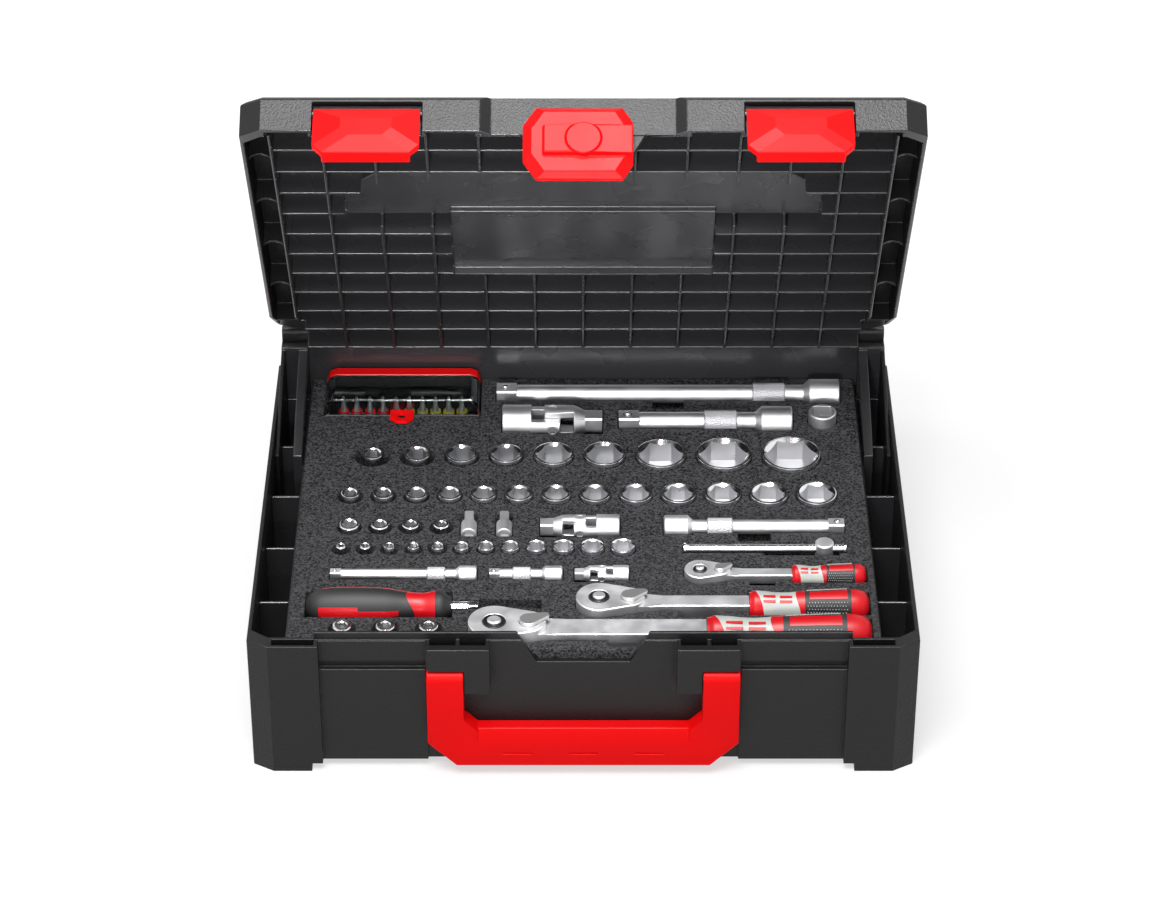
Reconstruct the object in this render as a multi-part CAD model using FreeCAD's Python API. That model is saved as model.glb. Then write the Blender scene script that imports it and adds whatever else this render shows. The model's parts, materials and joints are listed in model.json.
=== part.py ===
import FreeCAD
import Part
import math
import os

# Socket wrench set in a moulded carrying case, in millimetres.
# X runs to the viewer's right, Y to the hinge, Z up; the feet stand on Z = 0.
# The tools set the size of the foam tray, and the tray sets the size of the case.

Vec = FreeCAD.Vector

# Drive squares
half_drive = 12.7
three_eighths_drive = 9.5
quarter_drive = 6.35

# Sockets: hexagon sizes, length, and outside diameter = slope x size + wall
half_sizes = [10, 13, 16, 17, 21, 22, 27, 30, 32]
half_socket_length = 40.0
half_wall_slope = 1.22
half_wall = 2.4
half_neck = 24.0
three_eighths_sizes = [8, 9, 10, 11, 12, 13, 14, 15, 16, 17, 18, 19, 20]
three_eighths_socket_length = 30.0
three_eighths_wall_slope = 1.25
three_eighths_wall = 3.0
three_eighths_neck = 17.0
quarter_sizes = [4, 4.5, 5, 5.5, 6, 7, 8, 9, 10, 11, 12, 13]
quarter_socket_length = 25.0
quarter_wall_slope = 1.13
quarter_wall = 2.2
quarter_neck = 11.8
star_sizes = [10, 8.5, 7.5, 6.5]
star_socket_length = 26.0
star_wall_slope = 0.9
star_wall = 5.0
star_neck = 15.5
socket_proud = 3.0
socket_chamfer = 0.8

# Extensions, universal joints and the sliding bar
half_extension_length = 250.0
half_short_extension_length = 125.0
half_extension_shaft = 13.5
half_extension_end = 22.0
three_eighths_extension_length = 125.0
three_eighths_extension_shaft = 10.0
three_eighths_extension_end = 16.5
quarter_extension_length = 100.0
quarter_short_extension_length = 50.0
quarter_extension_shaft = 7.4
quarter_extension_end = 11.8
knurl_step = 1.6
half_joint_length = 72.0
half_joint_diameter = 24.0
three_eighths_joint_length = 55.0
three_eighths_joint_diameter = 17.5
quarter_joint_length = 37.0
quarter_joint_diameter = 12.6
joint_side_swing = 5.0
sliding_bar_length = 112.0
sliding_bar_diameter = 6.4
slider_diameter = 13.0
slider_from_end = 15.0

# Ratchets: length, head, bar and grip
half_ratchet_length = 270.0
half_head_radius = 17.5
half_head_thickness = 22.0
half_bar_width = 17.0
half_grip_diameter = 27.0
three_eighths_ratchet_length = 198.0
three_eighths_head_radius = 15.6
three_eighths_head_thickness = 17.0
three_eighths_bar_width = 12.0
three_eighths_grip_diameter = 23.0
quarter_ratchet_length = 124.0
quarter_head_radius = 10.5
quarter_head_thickness = 12.5
quarter_bar_width = 8.4
quarter_grip_diameter = 16.5
button_travel = 1.5

# Spinner handle, adapters and bit box
spinner_grip_length = 98.0
spinner_grip_diameter = 27.0
spinner_shank_length = 18.0
spinner_slot_length = 60.0
half_adapter_diameter = 20.0
half_adapter_length = 36.0
adapter_diameter = 11.0
adapter_length = 25.0
adapter_spacing = 24.5
holder_diameter = 17.0
holder_length = 34.0
holder_spacing = 29.0
bit_box_width = 112.0
bit_box_depth = 42.0
bit_box_height = 34.0
bit_box_proud = 12.0
bit_count = 10
bit_length = 25.0
bit_size = 6.35
bit_box_back_gap = 3.5
bit_box_spine = 9.0
bit_box_skin = 1.6
bit_box_corner = 7.0
bit_rack_from_front = 11.0
bit_rack_depth = 14.0
bit_rack_height = 12.0
bit_row_margin = 10.0
bit_tab_width = 17.0
bit_tab_reach = 15.0
bit_tab_corner = 5.0
bit_tab_thickness = 2.2
bit_tab_hole = 6.0

# Layout of the foam tray: the gaps between the rows, back to front
tool_gap = 12.0
pocket_clearance = 0.8
tray_side_margin = 11.0
ratchet_side_margin = 5.0
tray_back_margin = 9.0
bar_row_gap = 12.5
half_row_gap = 11.5
three_eighths_row_gap = 14.0
star_row_gap = 14.5
quarter_row_gap = 8.5
quarter_bar_row_gap = 10.5
spinner_row_gap = 7.5
half_ratchet_row_gap = 5.0
tray_front_margin = 1.7
half_row_left = 42.0
half_row_right = 29.0
three_eighths_row_left = 28.0
three_eighths_row_right = 20.0
quarter_row_left = 25.4
star_spacing = 21.3
foam_thickness = 85.5
finger_depth = 24.0
finger_length = 23.0
finger_width = 8.0

# Case walls
wall = 2.8
floor_thickness = 3.0
foot_height = 6.5
foot_depth = 34.0
side_channel = 22.2
liner_thickness = 2.4
liner_below_foam = 12.0
front_zone = 11.3
back_zone = 9.7
foam_gap = 0.3
rim_above_foam = 10.5
lip_height = 5.5
lip_thickness = 2.5
corner_cut_x = 14.0
corner_cut_y = 8.0
post_width = 40.0
web_pitch = 62.0
web_thickness = 2.2

# Front of the case: latch bays, handle blocks and centre notch
catch_depth = 7.0
catch_panel_depth = 5.0
catch_band_height = 17.0
groove_height = 5.5
groove_depth = 9.0
block_inner = 62.0
block_proud = 3.5
block_height = 36.5
centre_recess = 7.3
notch_top = 41.0
notch_bottom = 31.0
notch_depth = 17.5

# Carry handle
handle_leg_inner = 79.6
handle_leg_width = 24.5
handle_drop = 70.0
handle_grip_height = 29.0
handle_thickness = 13.0
handle_pivot_drop = 25.5
handle_pivot_inset = 0.4
handle_pin_diameter = 5.0
handle_outer_cut = 19.0
handle_inner_cut = 9.0
handle_bevel_height = 10.0
handle_bevel_depth = 4.0
handle_slit_length = 20.0
handle_slit_spacing = 44.5
handle_slit_height = 1.2
handle_slit_depth = 1.5

# Lid and hinge
lid_height = 27.0
lid_gap = 0.5
lid_open_angle = 59.0
lid_edge_chamfer = 3.5
lid_rib_height = 19.0
lid_rib_thickness = 2.0
rib_pitch_x = 34.2
rib_pitch_y = 29.5
ridge_inset = 18.0
recess_depth = 9.0
well_depth = 13.0
well_half_width = 90.0
well_half_depth = 41.0
well_overlap = 10.0
plateau_half_width = 161.0
plateau_back = -31.0
plateau_front = -94.0
plateau_cut = 28.0
hinge_inset = 1.5
hinge_above_rim = 25.5
hinge_radius = 4.4
hinge_pin_diameter = 4.0
knuckle_pitch = 36.0
knuckle_gap = 0.5
rail_width = 6.5
rail_run = 97.0
rail_drop = 33.0
rail_depth = 14.0

# Latches and turn knob
latch_width = 69.0
latch_from_side = 83.0
latch_bay_gap = 1.0
latch_height = 39.0
latch_thickness = 5.0
latch_relief = 4.5
latch_relief_side = 18.0
latch_relief_end = 11.0
latch_barrel_radius = 3.2
latch_pin_diameter = 3.0
latch_pivot_inset = 2.2
latch_rest_angle = 10.0
latch_recess_depth = 5.7
hook_height = 4.2
knob_left = 39.0
knob_right = 32.0
knob_height = 52.0
knob_thickness = 7.0
knob_ridge = 4.0
knob_boss_diameter = 23.0
knob_boss_proud = 0.8
knob_above_notch = 9.0
knob_panel_depth = 6.5
tongue_thickness = 3.5
spindle_diameter = 8.0

# Clearance between pieces that move on each other
pin_clearance = 0.15
slide_clearance = 0.3

os.makedirs("parts", exist_ok=True)


def box(x0, x1, y0, y1, z0, z1):
    return Part.makeBox(x1 - x0, y1 - y0, z1 - z0, Vec(x0, y0, z0))


def rod(radius, start, end):
    return Part.makeCylinder(radius, (end - start).Length, start, end - start)


def sweep(points, direction):
    return Part.Face(Part.makePolygon(points + points[:1])).extrude(direction)


def plan_prism(outline, z0, z1):
    return sweep([Vec(x, y, z0) for x, y in outline], Vec(0, 0, z1 - z0))


def front_prism(outline, y0, y1):
    return sweep([Vec(x, y0, z) for x, z in outline], Vec(0, y1 - y0, 0))


def side_prism(outline, x0, x1):
    return sweep([Vec(x0, y, z) for y, z in outline], Vec(x1 - x0, 0, 0))


def loft(outlines):
    wires = [Part.makePolygon(points + points[:1]) for points in outlines]
    return Part.makeLoft(wires, True, True)


def turned(profile, start, axis):
    """Solid of revolution: profile holds (distance along the axis, radius)."""
    points = [Vec(profile[0][0], 0, 0)]
    points += [Vec(along, 0, radius) for along, radius in profile]
    points += [Vec(profile[-1][0], 0, 0)]
    face = Part.Face(Part.makePolygon(points + points[:1]))
    solid = face.revolve(Vec(0, 0, 0), Vec(1, 0, 0), 360)
    turn = FreeCAD.Rotation(Vec(1, 0, 0), axis)
    solid.Placement = FreeCAD.Placement(start, turn)
    return solid


def fuse(shapes):
    return shapes[0].multiFuse(shapes[1:]).removeSplitter()


def cut(shape, tools):
    return shape.cut(tools).removeSplitter()


def mirrored(shape):
    return shape.mirror(Vec(0, 0, 0), Vec(1, 0, 0))


def both_sides(shapes):
    return shapes + [mirrored(shape) for shape in shapes]


def save(node, shapes):
    solids = [solid for shape in shapes for solid in shape.Solids]
    result = solids[0] if len(solids) == 1 else Part.makeCompound(solids)
    result.exportStep("parts/" + node + ".step")


def spread(widths, left, right):
    """Centres of pieces laid from left to right with equal gaps."""
    gap = (right - left - sum(widths)) / (len(widths) - 1)
    centres = []
    edge = left
    for width in widths:
        centres.append(edge + width / 2)
        edge += width + gap
    return centres


def socket_diameters(sizes, slope, socket_wall):
    return [slope * size + socket_wall for size in sizes]


def row_width(widths, least_gap):
    return sum(widths) + least_gap * (len(widths) - 1)


# Socket rows and the size of the foam tray
half_outside = socket_diameters(half_sizes, half_wall_slope, half_wall)
three_eighths_outside = socket_diameters(
    three_eighths_sizes, three_eighths_wall_slope, three_eighths_wall)
quarter_outside = socket_diameters(quarter_sizes, quarter_wall_slope, quarter_wall)
star_outside = socket_diameters(star_sizes, star_wall_slope, star_wall)
half_widths = [max(width, half_neck) for width in half_outside]
three_eighths_widths = [max(width, three_eighths_neck) for width in three_eighths_outside]
quarter_widths = [max(width, quarter_neck) for width in quarter_outside]
star_row_width = star_spacing * len(star_sizes)
quarter_row_width = row_width(quarter_widths, pocket_clearance * 6)
least_socket_gap = pocket_clearance * 4
spinner_length = spinner_grip_length + spinner_slot_length
holder_row_width = 2 * holder_spacing + holder_diameter

row_widths = [
    bit_box_width + half_extension_length + tool_gap + 2 * tray_side_margin,
    bit_box_width + half_joint_length + half_short_extension_length
    + half_adapter_diameter + 3.4 * tool_gap + 2 * tray_side_margin,
    row_width(half_widths, least_socket_gap) + half_row_left + half_row_right,
    row_width(three_eighths_widths, least_socket_gap)
    + three_eighths_row_left + three_eighths_row_right,
    three_eighths_row_left + star_row_width + 2 * adapter_spacing
    + three_eighths_joint_length + three_eighths_extension_length
    + 2 * tool_gap + 2 * tray_side_margin,
    quarter_row_left + quarter_row_width + 2 * tool_gap
    + sliding_bar_length + 2 * tray_side_margin,
    quarter_row_left + quarter_extension_length + quarter_short_extension_length
    + quarter_joint_length + quarter_ratchet_length + 2.4 * tool_gap
    + ratchet_side_margin,
    tray_side_margin + spinner_length + tool_gap
    + three_eighths_ratchet_length + ratchet_side_margin,
    tray_side_margin + holder_row_width + 2 * tool_gap
    + half_ratchet_length + ratchet_side_margin,
]
foam_width = max(row_widths)
foam_left = -foam_width / 2
foam_right = foam_width / 2

# Row centre lines, measured from the back edge of the tray
bar_row_half = half_extension_end / 2
back_to_bar_row = tray_back_margin + bar_row_half
back_to_joint_row = back_to_bar_row + bar_row_half + bar_row_gap + half_joint_diameter / 2
back_to_half_row = back_to_joint_row + half_joint_diameter / 2 + half_row_gap \
    + max(half_widths) / 2
back_to_three_eighths_row = back_to_half_row + max(half_widths) / 2 \
    + three_eighths_row_gap + max(three_eighths_widths) / 2
back_to_star_row = back_to_three_eighths_row + max(three_eighths_widths) / 2 \
    + star_row_gap + three_eighths_joint_diameter / 2
back_to_quarter_row = back_to_star_row + three_eighths_joint_diameter / 2 \
    + quarter_row_gap + max(quarter_widths) / 2
back_to_quarter_bar_row = back_to_quarter_row + max(quarter_widths) / 2 \
    + quarter_bar_row_gap + quarter_head_radius
back_to_spinner_row = back_to_quarter_bar_row + quarter_head_radius \
    + spinner_row_gap + three_eighths_head_radius
back_to_half_ratchet_row = back_to_spinner_row + three_eighths_grip_diameter / 2 \
    + half_ratchet_row_gap + half_grip_diameter / 2
foam_depth = back_to_half_ratchet_row + max(half_head_radius, half_grip_diameter / 2) \
    + pocket_clearance + tray_front_margin

# Outside of the case, centred on the origin
case_width = foam_width + 2 * (side_channel + wall)
case_depth = foam_depth + front_zone + back_zone + 2 * foam_gap
half_width = case_width / 2
front = -case_depth / 2
back = case_depth / 2
foam_back = back - back_zone - foam_gap
foam_front = front + front_zone + foam_gap
floor_top = foot_height + floor_thickness
foam_top = floor_top + foam_thickness
rim = foam_top + rim_above_foam
hinge_y = back - hinge_inset
hinge_z = rim + hinge_above_rim
lid_bottom = rim + lid_gap
lid_top = lid_bottom + lid_height
lid_ceiling = lid_top - wall
rib_bottom = lid_ceiling - lid_rib_height

bar_row_y = foam_back - back_to_bar_row
joint_row_y = foam_back - back_to_joint_row
half_row_y = foam_back - back_to_half_row
three_eighths_row_y = foam_back - back_to_three_eighths_row
star_row_y = foam_back - back_to_star_row
quarter_row_y = foam_back - back_to_quarter_row
quarter_bar_row_y = foam_back - back_to_quarter_bar_row
spinner_row_y = foam_back - back_to_spinner_row
half_ratchet_row_y = foam_back - back_to_half_ratchet_row

pockets = []


def case_outline(inset_sides, inset_front, inset_back):
    """Rectangle with cut corners, moved in from the outside of the case."""
    x = half_width - inset_sides
    y0 = front + inset_front
    y1 = back - inset_back
    cut_x = max(corner_cut_x - inset_sides, 1.0)
    cut_y = corner_cut_y
    return [(-x + cut_x, y0), (x - cut_x, y0), (x, y0 + cut_y), (x, y1 - cut_y),
            (x - cut_x, y1), (-x + cut_x, y1), (-x, y1 - cut_y), (-x, y0 + cut_y)]


def open_lid(shape):
    """Turn a piece drawn on the closed lid to the lid's resting angle."""
    return shape.rotated(Vec(0, hinge_y, hinge_z), Vec(-1, 0, 0), lid_open_angle)


def pocket(shape):
    pockets.append(shape)


def box_pocket(x0, x1, y, half, depth):
    side = half + pocket_clearance
    pocket(box(x0 - pocket_clearance, x1 + pocket_clearance, y - side, y + side,
               foam_top - depth, foam_top + 1))


def finger_pocket(x, y, length, width):
    """Recess beside a tool, from which the fingers lift it."""
    pocket(box(x - length / 2, x + length / 2, y - width, y,
               foam_top - finger_depth, foam_top + 1))


# Sockets

def hexagon_points(across):
    radius = across / math.sqrt(3)
    return [(radius * math.cos(math.radians(60 * i)), radius * math.sin(math.radians(60 * i)))
            for i in range(6)]


def hexagon(across, z0, z1):
    return plan_prism(hexagon_points(across), z0, z1)


def star(across, z0, z1):
    """Six-pointed opening: long and short radii taken in turn."""
    points = []
    for i in range(12):
        radius = across * (0.38 if i % 2 else 0.5)
        angle = math.radians(30 * i)
        points.append((radius * math.cos(angle), radius * math.sin(angle)))
    return plan_prism(points, z0, z1)


def socket(mouth, outside, neck, drive, length, mouth_depth):
    """Socket standing on its drive end, with its mouth up."""
    mouth_radius = outside / 2
    base_radius = max(outside, neck) / 2
    profile = [(0, base_radius)]
    if base_radius > mouth_radius + socket_chamfer:
        profile += [(length * 0.45, base_radius), (length * 0.62, mouth_radius)]
    profile += [(length - socket_chamfer, mouth_radius), (length, mouth_radius - socket_chamfer)]
    body = turned(profile, Vec(0, 0, 0), Vec(0, 0, 1))
    square = box(-drive / 2, drive / 2, -drive / 2, drive / 2, -1, drive)
    return cut(body, [mouth(length - mouth_depth, length + 1), square])


def socket_row(node, sizes, outside, neck, drive, length, centres, y, opening):
    shapes = []
    bottom = foam_top + socket_proud - length
    for size, width, x in zip(sizes, outside, centres):
        piece = socket(lambda z0, z1: opening(size, z0, z1), width, neck, drive, length,
                       length * 0.42)
        piece.translate(Vec(x, y, bottom))
        shapes.append(piece)
        radius = max(width, neck) / 2 + pocket_clearance
        pocket(rod(radius, Vec(x, y, bottom), Vec(x, y, foam_top + 1)))
    save(node, shapes)


def socket_rows():
    socket_row("half_inch_sockets", half_sizes, half_outside, half_neck, half_drive,
               half_socket_length,
               spread(half_widths, foam_left + half_row_left - half_neck / 4,
                      foam_right - half_row_right),
               half_row_y, hexagon)
    socket_row("three_eighths_sockets", three_eighths_sizes, three_eighths_outside,
               three_eighths_neck, three_eighths_drive, three_eighths_socket_length,
               spread(three_eighths_widths, foam_left + three_eighths_row_left - 2,
                      foam_right - three_eighths_row_right),
               three_eighths_row_y, hexagon)
    quarter_left = foam_left + quarter_row_left
    socket_row("quarter_inch_sockets", quarter_sizes, quarter_outside, quarter_neck,
               quarter_drive, quarter_socket_length,
               spread(quarter_widths, quarter_left, quarter_left + quarter_row_width),
               quarter_row_y, hexagon)
    star_left = foam_left + three_eighths_row_left + star_neck / 2
    socket_row("star_sockets", star_sizes, star_outside, star_neck, quarter_drive,
               star_socket_length,
               [star_left + star_spacing * i for i in range(len(star_sizes))],
               star_row_y, star)


# Extensions, universal joints and the sliding bar

def drive_square(drive, x0, x1):
    """Square drive end with its corners turned off."""
    block = box(x0, x1, -drive / 2, drive / 2, -drive / 2, drive / 2)
    return block.common(rod(drive * 0.64, Vec(x0, 0, 0), Vec(x1, 0, 0)))


def place(shape, x, y, z, flipped):
    """Move a piece drawn along +X from the origin; flipped turns it end for end."""
    if flipped:
        shape = shape.rotated(Vec(0, 0, 0), Vec(0, 0, 1), 180)
    shape.translate(Vec(x, y, z))
    return shape


def extension(node, drive, length, shaft, end, x, y, flipped):
    nose = drive * 1.15
    thick = length - end
    knurl_end = length - end * 1.8
    knurl_start = knurl_end - end * 1.1
    knurl = (shaft + knurl_step) / 2
    profile = [(nose - 1, shaft * 0.46), (nose + 1, shaft / 2), (knurl_start, shaft / 2),
               (knurl_start + 0.8, knurl), (knurl_end - 0.8, knurl), (knurl_end, shaft / 2),
               (thick - end * 0.2, shaft / 2), (thick, end / 2), (length - 0.8, end / 2),
               (length, end / 2 - 0.8)]
    bar = fuse([turned(profile, Vec(0, 0, 0), Vec(1, 0, 0)), drive_square(drive, 0, nose)])
    hole = box(length - drive, length + 1, -drive / 2, drive / 2, -drive / 2, drive / 2)
    save(node, [place(cut(bar, hole), x, y, foam_top, flipped)])
    side = -1 if flipped else 1
    seat = pocket_clearance / 2
    thin = sorted([x, x + side * thick])
    wide = sorted([x + side * (thick - end * 0.2), x + side * length])
    thin_radius = max(drive * 0.64, knurl)
    box_pocket(thin[0], thin[1], y, thin_radius, thin_radius + seat)
    box_pocket(wide[0], wide[1], y, end / 2, end / 2 + slide_clearance)


def universal_joint(prefix, drive, length, diameter, x, y, flipped):
    """Two forks on a cross; x is the middle, the socket fork points to -X."""
    radius = diameter / 2
    gap = radius * 0.52
    crotch = length * 0.21
    tip = length * 0.075
    pin = gap * 0.5
    neck = length / 2 - drive * 0.95
    inner = gap - slide_clearance
    whole = radius + 1
    slot_y = box(-crotch, whole * 2, -gap, gap, -whole, whole)
    slot_z = box(-whole * 2, crotch, -whole, whole, -gap, gap)
    trim_z = [box(-crotch, whole * 2, -whole, whole, inner, whole),
              box(-crotch, whole * 2, -whole, whole, -whole, -inner)]
    trim_y = [box(-whole * 2, crotch, y0, y1, -whole, whole).rotated(Vec(0, 0, 0), Vec(0, 0, 1), turn)
              for y0, y1 in ((inner, whole * 2), (-whole * 2, -inner))
              for turn in (-joint_side_swing, joint_side_swing)]
    hole = pin + pin_clearance
    pin_hole_y = rod(hole, Vec(0, -whole, 0), Vec(0, whole, 0))
    pin_hole_z = rod(hole, Vec(0, 0, -whole), Vec(0, 0, whole))
    square = box(-length / 2 - 1, -length / 2 + drive * 0.9,
                 -drive / 2, drive / 2, -drive / 2, drive / 2)
    socket_fork = turned([(-length / 2, radius - 0.6), (-length / 2 + 0.6, radius), (tip, radius)],
                         Vec(0, 0, 0), Vec(1, 0, 0))
    socket_fork = cut(socket_fork, [slot_y, pin_hole_y, square] + trim_z)
    drive_fork = turned([(-tip, radius), (crotch, radius), (neck, drive * 0.62)],
                        Vec(0, 0, 0), Vec(1, 0, 0))
    drive_fork = cut(drive_fork, [slot_z, pin_hole_z] + trim_y)
    drive_fork = fuse([drive_fork, drive_square(drive, neck - 0.5, length / 2)])
    cross = fuse([box(-inner, inner, -inner, inner, -inner, inner),
                  rod(pin, Vec(0, -radius * 0.92, 0), Vec(0, radius * 0.92, 0)),
                  rod(pin, Vec(0, 0, -radius * 0.92), Vec(0, 0, radius * 0.92))])
    pieces = {"socket_fork": socket_fork, "cross": cross, "drive_fork": drive_fork}
    for name, shape in pieces.items():
        save(prefix + "_" + name, [place(shape, x, y, foam_top, flipped)])
    side = -1 if flipped else 1
    held = sorted([x - side * length / 2, x - side * crotch])
    free = sorted([x - side * crotch, x + side * length / 2])
    box_pocket(held[0], held[1], y, radius, radius)
    swing = length / 2 * math.sin(math.radians(joint_side_swing))
    box_pocket(free[0], free[1], y, radius + swing, math.hypot(radius, tip) + pocket_clearance)


def sliding_bar():
    """Bar with a head that slides along it and carries the drive square."""
    x1 = foam_right - tray_side_margin - tool_gap / 2
    x0 = x1 - sliding_bar_length
    y = quarter_row_y
    radius = sliding_bar_diameter / 2
    centre = x1 - slider_from_end
    bar = rod(radius, Vec(x0, y, foam_top), Vec(x1, y, foam_top))
    stops = [rod(radius + 0.7, Vec(x, y, foam_top), Vec(x + 2, y, foam_top))
             for x in (x0, x1 - 2)]
    save("sliding_bar", [fuse([bar] + stops)])
    low = foam_top - radius - 2.5
    head = turned([(0, slider_diameter / 2 - 0.8), (0.8, slider_diameter / 2),
                   (2 * radius + 4.2, slider_diameter / 2),
                   (2 * radius + 5, slider_diameter / 2 - 0.8)],
                  Vec(centre, y, low), Vec(0, 0, 1))
    bore = rod(radius + pin_clearance, Vec(x0, y, foam_top), Vec(x1, y, foam_top))
    square = drive_square(quarter_drive, 0, quarter_drive * 1.2)
    square.rotate(Vec(0, 0, 0), Vec(0, 1, 0), 90)
    square.translate(Vec(centre, y, low + 0.5))
    save("sliding_bar_head", [cut(fuse([head, square]), bore)])
    box_pocket(x0, x1, y, radius + 0.7, radius + 0.7 + slide_clearance)
    slot_end = x1 - slider_diameter / 2 + 1
    box_pocket(x0 + sliding_bar_length / 2, slot_end, y, slider_diameter / 2,
               foam_top - low + quarter_drive * 1.2 + slide_clearance)


def bars_and_joints():
    bit_box_right = foam_left + tray_side_margin + bit_box_width
    extension("half_inch_extension", half_drive, half_extension_length, half_extension_shaft,
              half_extension_end, bit_box_right + tool_gap, bar_row_y, False)
    finger_pocket(bit_box_right + tool_gap + half_extension_length / 2,
                  bar_row_y, finger_length, half_extension_end / 2 + finger_width)
    joint_left = bit_box_right + tool_gap * 1.4
    joint_x = joint_left + half_joint_length / 2
    universal_joint("half_inch_joint", half_drive, half_joint_length, half_joint_diameter,
                    joint_x, joint_row_y, False)
    extension("half_inch_short_extension", half_drive, half_short_extension_length,
              half_extension_shaft, half_extension_end,
              joint_left + half_joint_length + tool_gap, joint_row_y, False)
    right = foam_right - tray_side_margin - tool_gap / 2
    extension("three_eighths_extension", three_eighths_drive, three_eighths_extension_length,
              three_eighths_extension_shaft, three_eighths_extension_end, right, star_row_y, True)
    finger_pocket(right - three_eighths_extension_length / 2,
                  star_row_y, finger_length, three_eighths_extension_end / 2 + finger_width)
    left = foam_left + quarter_row_left
    extension("quarter_inch_extension", quarter_drive, quarter_extension_length,
              quarter_extension_shaft, quarter_extension_end, left, quarter_bar_row_y, False)
    left += quarter_extension_length + tool_gap * 0.7
    extension("quarter_inch_short_extension", quarter_drive, quarter_short_extension_length,
              quarter_extension_shaft, quarter_extension_end, left, quarter_bar_row_y, False)
    left += quarter_short_extension_length + tool_gap * 0.7
    universal_joint("quarter_inch_joint", quarter_drive, quarter_joint_length,
                    quarter_joint_diameter, left + quarter_joint_length / 2,
                    quarter_bar_row_y, True)
    left = foam_left + three_eighths_row_left + star_row_width + 2 * adapter_spacing + tool_gap / 2
    universal_joint("three_eighths_joint", three_eighths_drive, three_eighths_joint_length,
                    three_eighths_joint_diameter, left + three_eighths_joint_length / 2,
                    star_row_y, True)
    sliding_bar()


# Ratchets

def two_circle_prism(radius, other_radius, distance, z0, z1):
    """Upright prism round two circles and their common tangents, along +X."""
    slant = math.asin((radius - other_radius) / distance)
    across = math.cos(slant)
    along = math.sin(slant)
    upper = [Vec(radius * along, radius * across, z0),
             Vec(distance + other_radius * along, other_radius * across, z0)]
    lower = [Vec(point.x, -point.y, z0) for point in upper]
    edges = [Part.LineSegment(upper[0], upper[1]).toShape(),
             Part.Arc(upper[1], Vec(distance + other_radius, 0, z0), lower[1]).toShape(),
             Part.LineSegment(lower[1], lower[0]).toShape(),
             Part.Arc(lower[0], Vec(-radius, 0, z0), upper[0]).toShape()]
    return Part.Face(Part.Wire(edges)).extrude(Vec(0, 0, z1 - z0))


def grip_profile(length, diameter):
    """Handle outline: collar, waist under the thumb, palm swell and round end."""
    shares = [(0.0, 0.40), (0.05, 0.46), (0.28, 0.40), (0.46, 0.45), (0.62, 0.48), (0.84, 0.50),
              (0.94, 0.45), (0.985, 0.33), (1.0, 0.18)]
    return [(along * length, share * diameter) for along, share in shares]


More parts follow.
